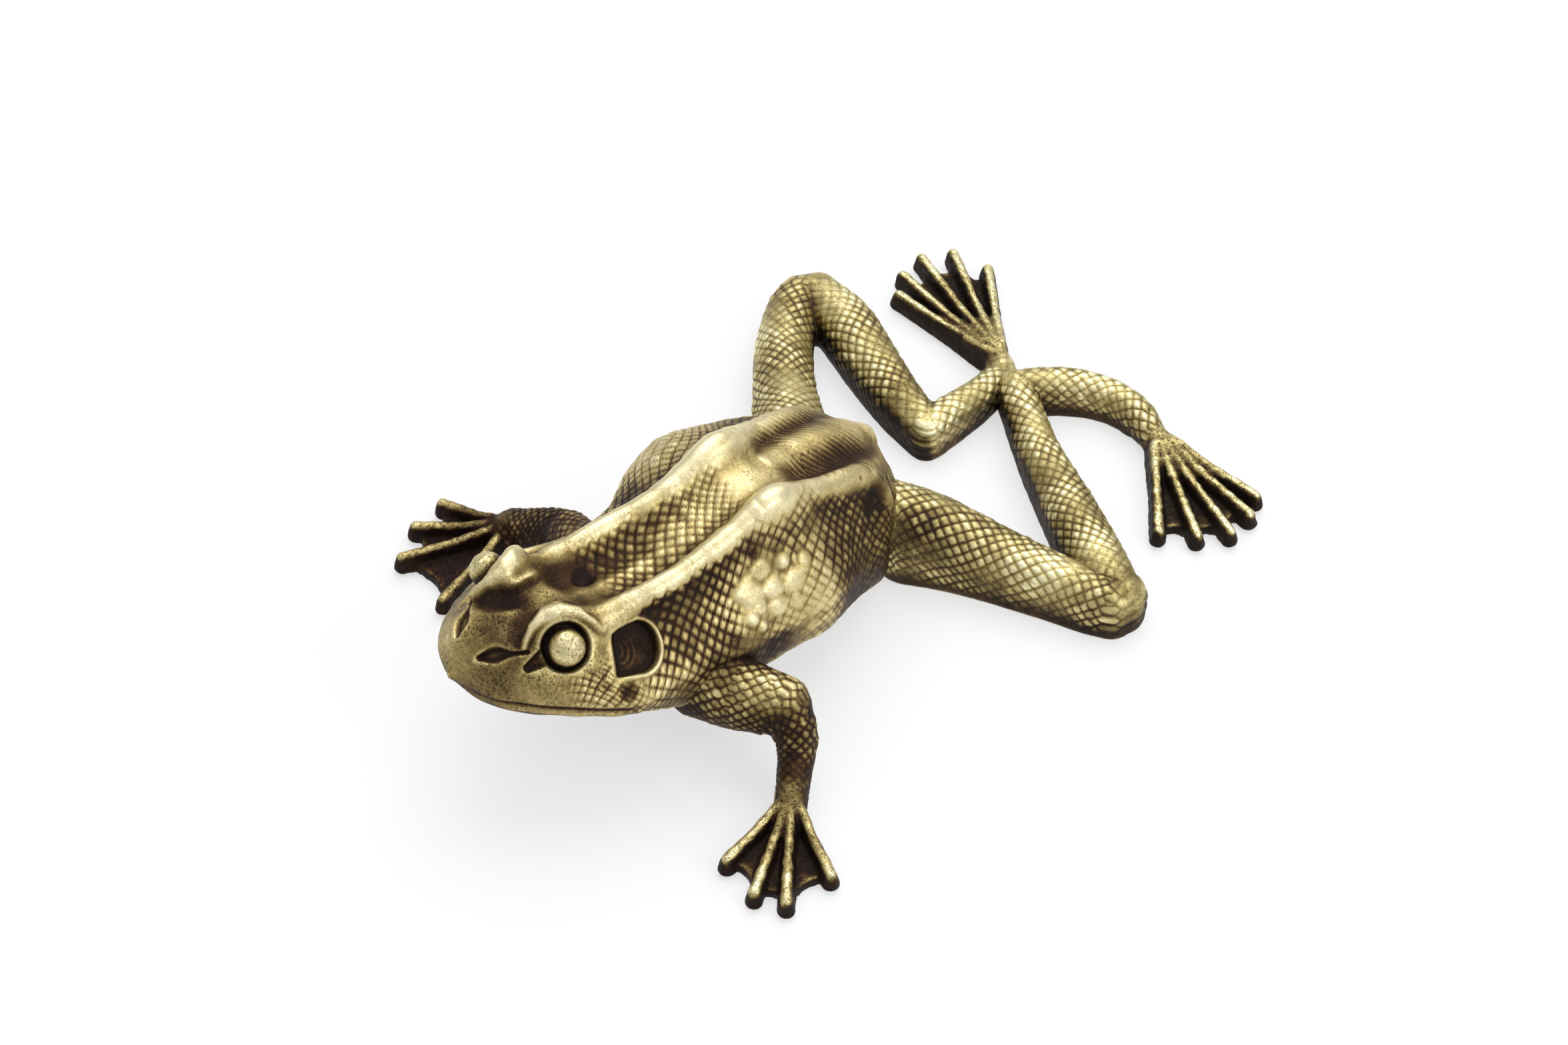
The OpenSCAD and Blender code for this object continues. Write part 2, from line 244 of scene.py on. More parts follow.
def areaLight(name, place, size, power, colour=(1, 1, 1)):
    data = bpy.data.lights.new(name, "AREA")
    data.shape = "DISK"
    data.size = size
    data.energy = power
    data.color = colour
    obj = bpy.data.objects.new(name, data)
    obj.location = place
    obj.rotation_euler = Vector(place).to_track_quat("Z", "Y").to_euler()
    bpy.context.scene.collection.objects.link(obj)

def makeFloor():
    bm = bmesh.new()
    bmesh.ops.create_grid(bm, x_segments=1, y_segments=1, size=view["floorSize"] / 2)
    mesh = meshFrom(bm, "paleFloor")
    paint = bpy.data.materials.new("paleFloor")
    paint.use_nodes = True
    shader = paint.node_tree.nodes["Principled BSDF"]
    shader.inputs["Base Color"].default_value = (*view["floor"], 1)
    shader.inputs["Emission Color"].default_value = (1, 1, 1, 1)
    shader.inputs["Emission Strength"].default_value = view["floorGlow"]
    shader.inputs["Roughness"].default_value = 0.7
    shader.inputs["Specular IOR Level"].default_value = 0.2
    mesh.materials.append(paint)
    obj = bpy.data.objects.new("paleFloor", mesh)
    bpy.context.scene.collection.objects.link(obj)

def makeWorld():
    # Bright overhead and a little darker near the horizon, so the metal shows its form
    world = bpy.data.worlds.new("paleStudio")
    bpy.context.scene.world = world
    world.use_nodes = True
    nodes, links = world.node_tree.nodes, world.node_tree.links
    place = nodes.new("ShaderNodeTexCoord")
    split = nodes.new("ShaderNodeSeparateXYZ")
    ramp = nodes.new("ShaderNodeValToRGB")
    ramp.color_ramp.elements[0].position = 0.0
    ramp.color_ramp.elements[0].color = (0.34, 0.34, 0.36, 1)
    ramp.color_ramp.elements[1].position = 0.75
    ramp.color_ramp.elements[1].color = (1, 1, 1, 1)
    links.new(place.outputs["Generated"], split.inputs[0])
    links.new(split.outputs["Z"], ramp.inputs[0])
    links.new(ramp.outputs[0], nodes["Background"].inputs["Color"])
    nodes["Background"].inputs["Strength"].default_value = 0.85

makeCamera()
makeFloor()
makeWorld()
areaLight("keyLight", (-0.35, 0.45, 1.0), 1.3, 7)
areaLight("sideLight", (0.9, 0.3, 0.6), 0.7, 3)
bpy.context.scene.view_settings.view_transform = "Standard"
print("camera, floor and light")

# ---------- brass ----------

brass = {
    "dark": (0.016, 0.010, 0.005),
    "brown": (0.078, 0.050, 0.018),
    "olive": (0.25, 0.195, 0.070),
    "gold": (0.60, 0.51, 0.225),
    "bright": (0.93, 0.885, 0.56),
    "ruddy": (0.85, 0.46, 0.40),
    "roughness": 0.06,  # mm
}

def groupSockets(group, inputs, outputs):
    for name, kind, value in inputs:
        socket = group.interface.new_socket(name=name, in_out="INPUT", socket_type=kind)
        socket.default_value = value
    for name, kind in outputs:
        group.interface.new_socket(name=name, in_out="OUTPUT", socket_type=kind)
    return group.nodes.new("NodeGroupInput"), group.nodes.new("NodeGroupOutput")

def mathNode(nodes, links, kind, a, b=None, clamp=False):
    node = nodes.new("ShaderNodeMath")
    node.operation = kind
    node.use_clamp = clamp
    for i, value in enumerate((a, b)):
        if value is None:
            continue
        if isinstance(value, (int, float)):
            node.inputs[i].default_value = value
        else:
            links.new(value, node.inputs[i])
    return node.outputs[0]

def noiseNode(nodes, links, place, mm, detail=2, rough=0.5):
    node = nodes.new("ShaderNodeTexNoise")
    node.inputs["Scale"].default_value = 1 / (mm * frog["mm"])
    node.inputs["Detail"].default_value = detail
    node.inputs["Roughness"].default_value = rough
    links.new(place, node.inputs["Vector"])
    return node.outputs["Fac"]

def makeCastPits():
    # Small pits left by the casting, as a mask and as a height
    group = bpy.data.node_groups.new("castPits", "ShaderNodeTree")
    start, end = groupSockets(
        group,
        [("Place", "NodeSocketVector", (0, 0, 0)), ("Amount", "NodeSocketFloat", 1.0)],
        [("Pits", "NodeSocketFloat"), ("Height", "NodeSocketFloat")])
    nodes, links = group.nodes, group.links
    coarse = noiseNode(nodes, links, start.outputs["Place"], 0.34, 3, 0.6)
    fine = noiseNode(nodes, links, start.outputs["Place"], 0.15, 2, 0.5)
    coarse = mathNode(nodes, links, "MULTIPLY", coarse, 0.6)
    fine = mathNode(nodes, links, "MULTIPLY", fine, 0.4)
    mixed = mathNode(nodes, links, "ADD", coarse, fine)
    mask = nodes.new("ShaderNodeMapRange")
    mask.inputs["From Min"].default_value = 0.54
    mask.inputs["From Max"].default_value = 0.60
    links.new(mixed, mask.inputs["Value"])
    pits = mathNode(nodes, links, "MULTIPLY", mask.outputs[0], start.outputs["Amount"], True)
    links.new(pits, end.inputs["Pits"])
    links.new(mathNode(nodes, links, "SUBTRACT", 1.0, pits), end.inputs["Height"])
    return group

def makePatina():
    # Colour, roughness and metal of antiqued brass: dark in the recesses, rubbed bright on the high places;
    # the value also carries painted shade
    group = bpy.data.node_groups.new("brassPatina", "ShaderNodeTree")
    start, end = groupSockets(
        group,
        [("Place", "NodeSocketVector", (0, 0, 0)), ("RubbedAndShaded", "NodeSocketFloat", 0.5),
         ("Ruddy", "NodeSocketFloat", 0.0), ("Pits", "NodeSocketFloat", 0.0)],
        [("Color", "NodeSocketColor"), ("Roughness", "NodeSocketFloat"),
         ("Metallic", "NodeSocketFloat"), ("Height", "NodeSocketFloat")])
    nodes, links = group.nodes, group.links
    place = start.outputs["Place"]
    cloud = noiseNode(nodes, links, place, 5, 3, 0.6)
    grain = noiseNode(nodes, links, place, 0.5, 4, 0.65)
    slow = mathNode(nodes, links, "MULTIPLY", mathNode(nodes, links, "SUBTRACT", cloud, 0.5), 0.35)
    quick = mathNode(nodes, links, "MULTIPLY", mathNode(nodes, links, "SUBTRACT", grain, 0.5), 0.45)
    uneven = mathNode(nodes, links, "ADD", slow, quick)
    rubbedAndShaded = mathNode(nodes, links, "ADD", start.outputs["RubbedAndShaded"], uneven)
    pits = mathNode(nodes, links, "MULTIPLY", start.outputs["Pits"], 0.42)
    rubbedAndShaded = mathNode(nodes, links, "SUBTRACT", rubbedAndShaded, pits, True)
    ramp = nodes.new("ShaderNodeValToRGB")
    stops = [(0.0, "dark"), (0.25, "brown"), (0.48, "olive"), (0.74, "gold"), (1.0, "bright")]
    while len(ramp.color_ramp.elements) < len(stops):
        ramp.color_ramp.elements.new(0.5)
    for stop, (at, name) in zip(ramp.color_ramp.elements, stops):
        stop.position = at
        stop.color = (*brass[name], 1)
    links.new(rubbedAndShaded, ramp.inputs[0])
    red = nodes.new("ShaderNodeMix")
    red.data_type = "RGBA"
    red.blend_type = "MULTIPLY"
    links.new(start.outputs["Ruddy"], red.inputs["Factor"])
    links.new(ramp.outputs[0], red.inputs[6])
    red.inputs[7].default_value = (*brass["ruddy"], 1)
    links.new(red.outputs[2], end.inputs["Color"])
    # rubbed places are smoother and show bare metal
    smoother = mathNode(nodes, links, "MULTIPLY", rubbedAndShaded, 0.24)
    links.new(mathNode(nodes, links, "SUBTRACT", 0.62, smoother), end.inputs["Roughness"])
    barer = mathNode(nodes, links, "MULTIPLY", rubbedAndShaded, 0.3)
    links.new(mathNode(nodes, links, "ADD", 0.7, barer, True), end.inputs["Metallic"])
    rolling = mathNode(nodes, links, "MULTIPLY", cloud, 0.5)
    links.new(mathNode(nodes, links, "ADD", grain, rolling), end.inputs["Height"])
    return group

castPits = makeCastPits()
brassPatina = makePatina()

def attributeNode(nodes, name):
    node = nodes.new("ShaderNodeAttribute")
    node.attribute_name = name
    return node.outputs["Fac"]

def makeBrass(name, bumpStrength):
    paint = bpy.data.materials.new(name)
    paint.use_nodes = True
    nodes, links = paint.node_tree.nodes, paint.node_tree.links
    shader = nodes["Principled BSDF"]
    place = nodes.new("ShaderNodeTexCoord").outputs["Object"]
    pits = nodes.new("ShaderNodeGroup")
    pits.node_tree = castPits
    patina = nodes.new("ShaderNodeGroup")
    patina.node_tree = brassPatina
    links.new(place, pits.inputs["Place"])
    links.new(attributeNode(nodes, "pitted"), pits.inputs["Amount"])
    links.new(place, patina.inputs["Place"])
    links.new(attributeNode(nodes, "rubbedAndShaded"), patina.inputs["RubbedAndShaded"])
    links.new(attributeNode(nodes, "ruddy"), patina.inputs["Ruddy"])
    links.new(pits.outputs["Pits"], patina.inputs["Pits"])
    for socket in ("Color", "Roughness", "Metallic"):
        links.new(patina.outputs[socket], shader.inputs["Base Color" if socket == "Color" else socket])
    pitHeight = mathNode(nodes, links, "MULTIPLY", pits.outputs["Height"], 2.0)
    height = mathNode(nodes, links, "ADD", pitHeight, patina.outputs["Height"])
    rough = nodes.new("ShaderNodeBump")
    rough.inputs["Strength"].default_value = bumpStrength
    rough.inputs["Distance"].default_value = brass["roughness"] * frog["mm"]
    links.new(height, rough.inputs["Height"])
    links.new(rough.outputs[0], shader.inputs["Normal"])
    return paint

castBrass = makeBrass("antiqueBrass", 0.8)
beadBrass = makeBrass("beadBrass", 1.0)
print("brass")

# ---------- shared relief helpers ----------

seeded = np.random.RandomState(frog["seed"])

def wobble(co, size, amount):
    # Smooth random wander over the surface, built from a few seeded waves
    total = np.zeros(len(co))
    for _ in range(6):
        direction = seeded.normal(size=3)
        direction *= 2 * pi / (size * np.linalg.norm(direction))
        total += np.sin(co @ direction + seeded.uniform(0, 2 * pi))
    return total * amount / 2.4

def alongLine(line, co):
    # Nearest place on a line: distance, how far along it is, and which side it lies on
    best = np.full(len(co), 1e9)
    at = np.zeros(len(co))
    side = np.ones(len(co))
    done = 0.0
    for p, q in zip(line[:-1], line[1:]):
        d = q - p
        length = np.linalg.norm(d)
        t = np.clip(((co - p) @ d) / length**2, 0, 1)
        away = co - p - t[:, None] * d
        distance = np.linalg.norm(away, axis=1)
        closer = distance < best
        best[closer] = distance[closer]
        at[closer] = (done + t * length)[closer]
        side[closer] = np.sign(d[0] * away[:, 1] - d[1] * away[:, 0])[closer]
        done += length
    return best, at, side, done

def bump(u):
    # A smooth hump: 1 at 0, and 0 from 1 outwards
    return (1 - np.clip(np.abs(u), 0, 1) ** 2) ** 2

def pads(a, b, size, sharp):
    # Diamond lattice of scales: 0 in the grooves, about 1 on the pads, and a random number for each pad
    p, q = (a + b) / size, (a - b) / size
    pad = 1.0
    for t in (p, q):
        pad = pad * (1 - np.abs(2 * (t - np.floor(t)) - 1) ** sharp)
    chance = np.abs(np.sin(np.floor(p) * 12.9898 + np.floor(q) * 78.233) * 43758.5453) % 1
    return pad, chance

def edgesOf(mesh):
    pairs = np.empty(len(mesh.edges) * 2, np.int32)
    mesh.edges.foreach_get("vertices", pairs)
    return pairs.reshape(-1, 2)

def relaxed(co, edges, times):
    # Positions after some rounds of smoothing
    a, b = edges.T
    n = len(co)
    share = 0.5 / np.maximum(np.bincount(edges.ravel(), minlength=n), 1)
    for _ in range(times):
        moved = [(np.bincount(a, co[b, k], n) + np.bincount(b, co[a, k], n)) * share for k in range(3)]
        co = 0.5 * co + np.stack(moved, 1)
    return co

def highAndLow(mesh, co, rounds):
    # How far each vertex stands above (+) or below (-) its smoothed surroundings, mm, for several widths
    edges = edgesOf(mesh)
    no = normals(mesh)
    out = []
    soft, done = co, 0
    for times in rounds:
        soft = relaxed(soft, edges, times - done)
        done = times
        out.append(np.einsum("ij,ij->i", co - soft, no))
    return out

def addAttribute(mesh, name, values):
    layer = mesh.attributes.new(name, "FLOAT", "POINT")
    layer.data.foreach_set("value", np.clip(values, 0, 1).astype(np.float32))

def finishPiece(name, mesh, paint, slotName, *nodes):
    # From the frog's own millimetres to the frame's metres, then onto its body
    co = points(mesh)
    co[:, 0] += frog["midline"]
    setPoints(mesh, co * frog["mm"])
    mesh.polygons.foreach_set("use_smooth", [True] * len(mesh.polygons))
    mesh.materials.clear()
    mesh.materials.append(paint)
    obj = bpy.data.objects.new(name, mesh)
    bpy.context.scene.collection.objects.link(obj)
    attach(obj, "root")
    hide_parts(*nodes)
    return obj

# ---------- relief on the body ----------

relief = {
    # ridges on the back: [x, y] points, the width at each end and the height
    "ridges": {
        "left": ([[8.9, -42.4], [8.2, -40], [8.2, -36.6], [8.5, -32], [8.4, -27], [8.0, -21], [7.8, -17],
                  [8.2, -13]], 1.6, 2.6, 0.65),
        "right": ([[-6.3, -41], [-5.5, -38], [-5.1, -34], [-4.7, -29], [-4.4, -23], [-4.4, -18], [-5.2, -12]],
                  1.5, 2.6, 0.5),
        "saddle": ([[-5.4, -12.5], [-2, -12], [1.4, -11.6], [4.6, -12.4], [8, -13.6]], 4.6, 4.6, 1.0),
        "leftHip": ([[3.4, -10.8], [5.2, -8.4], [7.0, -5.6], [7.6, -2.6], [7.2, 0.6], [6.7, 3.2], [6.2, 5.6],
                     [5.9, 8.4]], 2.2, 1.3, 0.6),
        "rightHip": ([[-5.6, -11], [-6.6, -7], [-7.6, -2], [-8.2, 2], [-9.2, 5], [-10.4, 7.4]],
                     2.6, 1.8, 0.5),
        "tail": ([[0.2, -10.4], [-0.9, -6], [-1.6, -1.8], [-1.6, 2.2], [-1.7, 5.8], [-2.2, 9.6]],
                 2.0, 3.0, 1.0),
    },
    "gutter": 0.22,  # how far the skin drops beside the left and right ridges
    # hollows between the ridges, as above but sunk
    "hollows": {
        "neck": ([[-1.4, -40.6], [-0.8, -38], [-0.9, -34.5], [-0.2, -31], [0.8, -27.6], [2, -24.4]],
                 2.4, 1.3, 0.75),
        "leftScoop": ([[2.4, -6.4], [3.4, -3.6], [3.2, 0], [2.6, 4.6], [1.8, 8]], 1.6, 2.6, 0.1),
        "rightScoop": ([[-3.4, -7], [-4.6, -4.2], [-5.0, 0], [-5.4, 4], [-6, 7.6]], 1.8, 2.6, 0.1),
    },
    "hatchPitch": 0.95,  # between the cut lines in the scoops
    "hatchDepth": 0.05,
    "tailKnob": ([-2.2, 10.4], 2.4, 0.7),  # place, radius and height
    # rounded warts on the left flank, [x, y, z, radius, height]
    "warts": [[12.9, -14.8, 25.8, 1.3, 0.6], [12.4, -18.4, 25.7, 1.5, 0.3], [13.3, -20.9, 24.2, 2.1, 0.32],
              [14.2, -17.4, 23.9, 1.9, 0.3], [14.9, -14.2, 23.3, 2.1, 0.22], [16.3, -20.7, 20.2, 0.9, 0.45],
              [15.4, -22.0, 21.4, 1.0, 0.4], [13.2, -11.6, 25.0, 1.3, 0.2], [15.9, -17.6, 21.2, 1.8, 0.24],
              [14.6, -20.2, 22.2, 1.1, 0.3], [16.6, -14.6, 20.6, 1.6, 0.2]],
    "bare": ([14.4, -17.4, 22.4], 9.5),  # the flank is worn smooth round the warts: middle and radius
    # dimples, [x, y, z, radius, depth]
    "dimples": [[-0.6, -37.6, 26.8, 1.7, 0.8], [10.9, -18.6, 28.0, 1.0, 0.18], [7.3, 4.4, 20.0, 3.6, 0.7],
                [15.0, -42.3, 20.9, 1.5, 0.6], [8.3, -15.6, 33, 0.5, 0.3], [6.9, 2.2, 26, 0.4, 0.3],
                [15.0, -19.4, 22.4, 0.9, 0.25]],
    # lines of the face, drawn as [rear, up] from the eye's centre
    "brow": [[-5.7, 0.0], [-5.0, 1.6], [-3.9, 3.1], [-2.1, 4.2], [0, 4.5], [2.1, 4.0], [3.8, 2.6],
             [5.0, 1.2]],
    "browR": 0.58,
    "browUp": 1.05,
    "browSwell": {1: 0.3, -1: 0.8},  # the right brow is the fuller one, and the fold over it gets more painted shade
    "eyeCorner": [[-2.2, -0.6], [-5.2, -1.9]],
    "eyeFold": [[-7.0, 0.6], [-6.2, 2.4], [-4.8, 4.3], [-3.0, 5.8], [-1.2, 6.6]],
    "socketR": 3.25,
    "socketDepth": 1.5,
    "earR": 3.45,
    "earFront": -2.4,  # the straight front edge, from the ear's middle
    "earDepth": 1.35,
    "earRim": 0.4,
    "nostril": [[2.4, -56.6], [3.1, -55.7], [4.0, -54.4], [5.3, -52.4], [5.9, -51.3]],
    "mouthDrop": 0.7,  # the mouth line runs this far under the widest part of the head
    "lip": 0.3,
}

# Middle of the left eye and ear, and the directions to the rear and outwards there
faces = {
    "eye": ((8.3, -47.0, 26.9), (0.4226, 0.9063, 0.0), (0.694, -0.324, 0.643)),
    "ear": ((11.9, -38.4, 23.6), (-0.087, 0.996, 0.0), (0.816, 0.071, 0.574)),
}

scales = {
    # pitch in mm and sharpness of the grooves
    "middle": (1.75, 2.8),
    "flank": (1.95, 3.8),
    "small": (1.35, 4),
    "middleDepth": 0.2,
    "flankDepth": 0.25,
    "smallDepth": 0.21,
    "low": 0.7,  # the part of a scale's height that lies under the plain skin
    "spread": 0.6,  # how much single scales differ in height
}

def bodySkin(mesh):
    # The body's surface as arrays with a value for each vertex, which the features below add to
    co, no = points(mesh), normals(mesh)
    f = {"co": co, "no": no, "along": attribute(mesh, "along"), "around": attribute(mesh, "around")}
    f["skin"] = f["around"] < 90  # the rest is the hollow inside
    f["upper"] = f["skin"] & (no[:, 2] > 0.1)
    for name in ("height", "plain", "polish", "dark", "gutter", "hatch"):
        f[name] = np.zeros(len(co))
    f["ragged"] = wobble(co, 2.6, 1)
    return f

def atLeast(f, name, values):
    f[name] = np.maximum(f[name], values)

def onSkin(xy, f):
    # Drops [x, y] points onto the upper skin
    co = f["co"]
    out = []
    for x, y in xy:
        near = np.argmin((co[:, 0] - x) ** 2 + (co[:, 1] - y) ** 2 + 1e6 * ~f["upper"])
        out.append([x, y, co[near, 2]])
    return np.array(out)

def spot(co, x, y, z, r):
    # 1 at a place, falling to 0 a little past radius r
    return bump(np.linalg.norm(co - [x, y, z], axis=1) / r * 0.8)

def addRidges(f):
    # Rounded ridges, rubbed bright; outside the two long ones the skin drops away
    for name, (xy, first, last, up) in relief["ridges"].items():
        d, at, side, length = alongLine(onSkin(xy, f), f["co"])
        width = first + (last - first) * at / length
        raised = up * bump(d / (width * 1.8)) * smoothStep(0, 2.5, at)
        h = f["height"]
        f["height"] = np.maximum(h, raised) + 0.25 * np.minimum(h, raised)
        atLeast(f, "plain", smoothStep(1.0, 0.45, d / width + 0.18 * f["ragged"]))
        atLeast(f, "polish", smoothStep(1.2, 0.2, d / width))
        if name in ("left", "right"):
            outer = d * np.sign(-side if name == "left" else side)
            fade = smoothStep(length, length - 9, at) * smoothStep(0, 3, at)
            drop = bump((outer - width * 1.5) / (width * 0.8)) * fade
            f["height"] -= relief["gutter"] * drop
            atLeast(f, "gutter", drop)

def addHollows(f):
    # The crease down the neck and the two scoops over the rump, which are cut with slanting lines
    for name, (xy, first, last, down) in relief["hollows"].items():
        d, at, side, length = alongLine(onSkin(xy, f), f["co"])
        width = first + (last - first) * at / length
        f["height"] -= down * bump(d / (width * 1.4)) * smoothStep(length, length * 0.45, at)
        if name != "neck":
            scoop = smoothStep(1.9, 1.1, d / width)
            atLeast(f, "plain", scoop)
            within = smoothStep(0.0, 1.2, at) * smoothStep(length, length - 1.2, at)
            f["hatch"] += scoop * within * np.sin(2 * pi * (at + 0.7 * d * side) / relief["hatchPitch"])

def addWarts(f):
    # The knob over the tail, the warts with their flat tops, and the dimples
    co = f["co"]
    place, r, up = relief["tailKnob"]
    knob = onSkin([place], f)[0]
    f["height"] += up * bump(np.linalg.norm(co - knob, axis=1) / r)
    cobble = np.zeros(len(co))
    for x, y, z, r, up in relief["warts"]:
        u = np.linalg.norm(co - [x, y, z], axis=1) / r * (1 + 0.16 * f["ragged"])
        cobble = np.maximum(cobble, up * smoothStep(1.25, 0.45, u))
        atLeast(f, "plain", smoothStep(1.5, 0.9, u))
        atLeast(f, "polish", smoothStep(1.2, 0.3, u) * 0.8)
    f["height"] += cobble
    for x, y, z, r, down in relief["dimples"]:
        f["height"] -= down * spot(co, x, y, z, r)

def onFace(f, name, side):
    # Distances to the rear, up and outwards from the middle of an eye or ear, and how far the skin faces out
    middle, rear, out = (np.array(v) * [side, 1, 1] for v in faces[name])
    up = np.cross(rear, out) * -side
    d = f["co"] - middle
    return d @ rear, d @ up, d @ out, f["no"] @ out

def alongFlat(line, u, v):
    # As alongLine, for a line drawn on the flat of the face
    return alongLine(np.array([[*p, 0] for p in line]), np.column_stack([u, v, np.zeros(len(u))]))

def addEyelid(f, side):
    # Swollen brow, thin eyelid ring, round socket with a corner in front, and a fold over the brow, painted
    # dark as shade
    u, v, w, outward = onFace(f, "eye", side)
    facing = smoothStep(-8.5, -6.5, w) * smoothStep(-0.4, 0.1, outward) * f["skin"]
    swell = relief["browSwell"][side]
    f["height"] += swell * facing * bump(np.hypot(u + 0.6, v - 2.6) / 5.4)
    d, at, _, length = alongFlat(relief["brow"], u, v)
    taper = smoothStep(0, 1.6, at) * smoothStep(length, length - 2.2, at) * 0.75 + 0.25
    f["height"] += facing * relief["browUp"] * taper * bump(d / (relief["browR"] * 1.25))
    atLeast(f, "polish", facing * smoothStep(0.85, 0.3, d) * smoothStep(0, 2, at))
    bowl = smoothStep(relief["socketR"] + 0.25, relief["socketR"] - 0.45, np.hypot(u, v))
    d, at, _, length = alongFlat(relief["eyeCorner"], u, v)
    corner = smoothStep(1.1, 0.5, d / (1.6 - 0.9 * at / length))
    sunk = facing * np.maximum(bowl, corner * 0.42)
    f["height"] = f["height"] * (1 - sunk) - relief["socketDepth"] * sunk
    atLeast(f, "dark", sunk)
    d, at, _, length = alongFlat(relief["eyeFold"], u, v)
    crease = facing * bump(d / 1.7) * smoothStep(0, 2.2, at) * smoothStep(length, length - 4, at)
    f["height"] -= (0.1 + 0.6 * swell) * crease
    # painted shade in the fold over the brow, stronger on the fuller right side
    atLeast(f, "dark", (0.08 + 0.34 * swell) * crease)

def addEar(f, side):
    # A dish with arcs in it and a rim round its rear; the outline runs out to a corner at the lower front
    r0, front = relief["earR"], relief["earFront"]
    u, v, w, outward = onFace(f, "ear", side)
    facing = smoothStep(-4, -2.5, w) * smoothStep(0.1, 0.5, outward)
    a, b = 0.88 * u - 0.47 * v, 0.47 * u + 0.88 * v  # turned so that a runs back from the straight front edge
    ahead = np.maximum(-a, 0)
    upper = b > 0.45
    high = np.where(upper, r0 - 0.5 * ahead, r0 + 0.17 * ahead)
    r = np.hypot(np.maximum(a, 0) / 0.94, (b - 0.45) * r0 / np.maximum(high, 0.5))
    dish = facing * smoothStep(r0 + 0.05, r0 - 0.5, r) * smoothStep(front - 1.1, front, a)
    ring = facing * bump((r - r0 - 0.25) / 0.42) * smoothStep(front + upper, front + 1.6 + upper, a)
    arcs = np.cos(2 * pi * np.hypot(a + 2.2, b - 0.3) / 0.8)
    arcs *= smoothStep(2.6, 1.4, np.hypot(a + 1.6, b - 0.3))
    f["height"] = f["height"] * (1 - dish) - dish * (relief["earDepth"] - 0.1 * arcs)
    f["height"] += relief["earRim"] * ring
    atLeast(f, "plain", facing * smoothStep(r0 + 0.9, r0 + 0.5, r) * smoothStep(-4.0, -3.4, a))
    atLeast(f, "polish", 0.7 * ring)
    atLeast(f, "dark", dish * (0.62 + 0.12 * arcs))

def addNostril(f, side):
    # A leaf-shaped slot with a faint rim, narrowing to a groove that runs back to the eye
    d, at, _, length = alongLine(onSkin([[side * x, y] for x, y in relief["nostril"]], f), f["co"])
    t = at / length
    wide = 0.3 + 0.85 * bump((t - 0.32) / 0.42)
    gap = smoothStep(1.1, 0.45, d / wide)
    f["height"] += 0.08 * bump((d - wide - 0.2) / 0.6) * (d > 0.35) * smoothStep(0.75, 0.3, t)
    f["height"] = f["height"] * (1 - gap) - (0.7 - 0.35 * t) * gap
    # painted shade in the slot, lighter in its middle where light reaches in
    lit = bump((t - 0.32) / 0.34) * bump(d / (0.75 * wide))
    atLeast(f, "dark", gap * (0.46 - 0.42 * lit))

def addMouth(f):
    # Mouth line with a lip under it, faint at the tip of the snout
    along = f["along"]
    over = f["co"][:, 2] - (curve(along, body["sideZ"]) - relief["mouthDrop"])
    jaw = smoothStep(-41.5, -44, along) * f["skin"] * (0.25 + 0.75 * smoothStep(-58.4, -54, along))
    f["height"] -= relief["lip"] * jaw * bump(over / 0.5)
    f["height"] += relief["lip"] * jaw * bump((over + 1.0) / 0.8)
    atLeast(f, "dark", 0.2 * jaw * bump(over / 0.5))
    atLeast(f, "plain", jaw * smoothStep(0.3, 0.0, over - 0.6))

def markPlainParts(f):
    # Parts of the skin that have no scales, or only faint ones: head, nape, belly and the worn flank
    along, around = f["along"], np.abs(f["around"])
    f["head"] = smoothStep(-38.5, -41.5, along)
    f["cheek"] = smoothStep(-51, -48, along) * smoothStep(-39, -41, along)
    f["cheek"] *= smoothStep(24.4, 23.2, f["co"][:, 2])
    f["nape"] = smoothStep(-33.5, -37, along + 0.3 * around) * smoothStep(8.5, 7, around)
    belly = smoothStep(19, 25, around) * smoothStep(-30, -22, along)
    middle, r = relief["bare"]
    f["bare"] = bump(np.linalg.norm(f["co"] - middle, axis=1) / r)
    atLeast(f, "plain", f["head"] * (1 - f["cheek"]))
    atLeast(f, "plain", f["nape"])
    atLeast(f, "plain", 0.55 * belly)
    atLeast(f, "plain", 0.5 * f["bare"])
    shoulder = smoothStep(-41, -38, along) * smoothStep(-17, -26, along)
    f["shoulder"] = shoulder * smoothStep(5, 9, around) * smoothStep(24, 18, around) * (1 - f["plain"])

def addScales(f):
    # Scales: fine on the cheek and between the ridges, larger on the flanks
    co, along, cheek = f["co"], f["along"], f["cheek"]
    rows = np.interp(along, *bodyArc())
    warpA, warpB = wobble(co, 14, 0.7), wobble(co, 14, 0.7)
    ridgeAt = curve(along, body["ridgeX"]) + np.abs(curve(along, body["midX"]))
    between = smoothStep(ridgeAt + 0.5, ridgeAt - 0.5, np.abs(f["around"])) * smoothStep(-6, -9, along)
    middle, middleChance = pads(rows + warpA, f["around"] + warpB, *scales["middle"])
    flank, flankChance = pads(rows * 1.1 + warpA, f["around"] * 0.95 + warpB, *scales["flank"])
    small, _ = pads(rows + warpA, f["around"] + warpB, *scales["small"])
    f["scale"] = between * middle + (1 - between) * ((1 - cheek) * flank + cheek * small)
    f["chance"] = between * middleChance + (1 - between) * flankChance
    sideDepth = scales["flankDepth"] + (scales["smallDepth"] - scales["flankDepth"]) * cheek
    depth = scales["middleDepth"] * between + (1 - between) * sideDepth
    worn = np.maximum(np.clip(0.75 + wobble(co, 9, 0.45), 0.3, 1), 0.8 * between)
    f["scaled"] = np.clip(1 - f["plain"], 0, 1) * f["skin"] * worn
    f["height"] += f["scaled"] * depth * scaleHeight(f["scale"], f["chance"])

def scaleHeight(scale, chance):
    return scale * (scales["low"] + scales["spread"] * chance) - scales["low"]

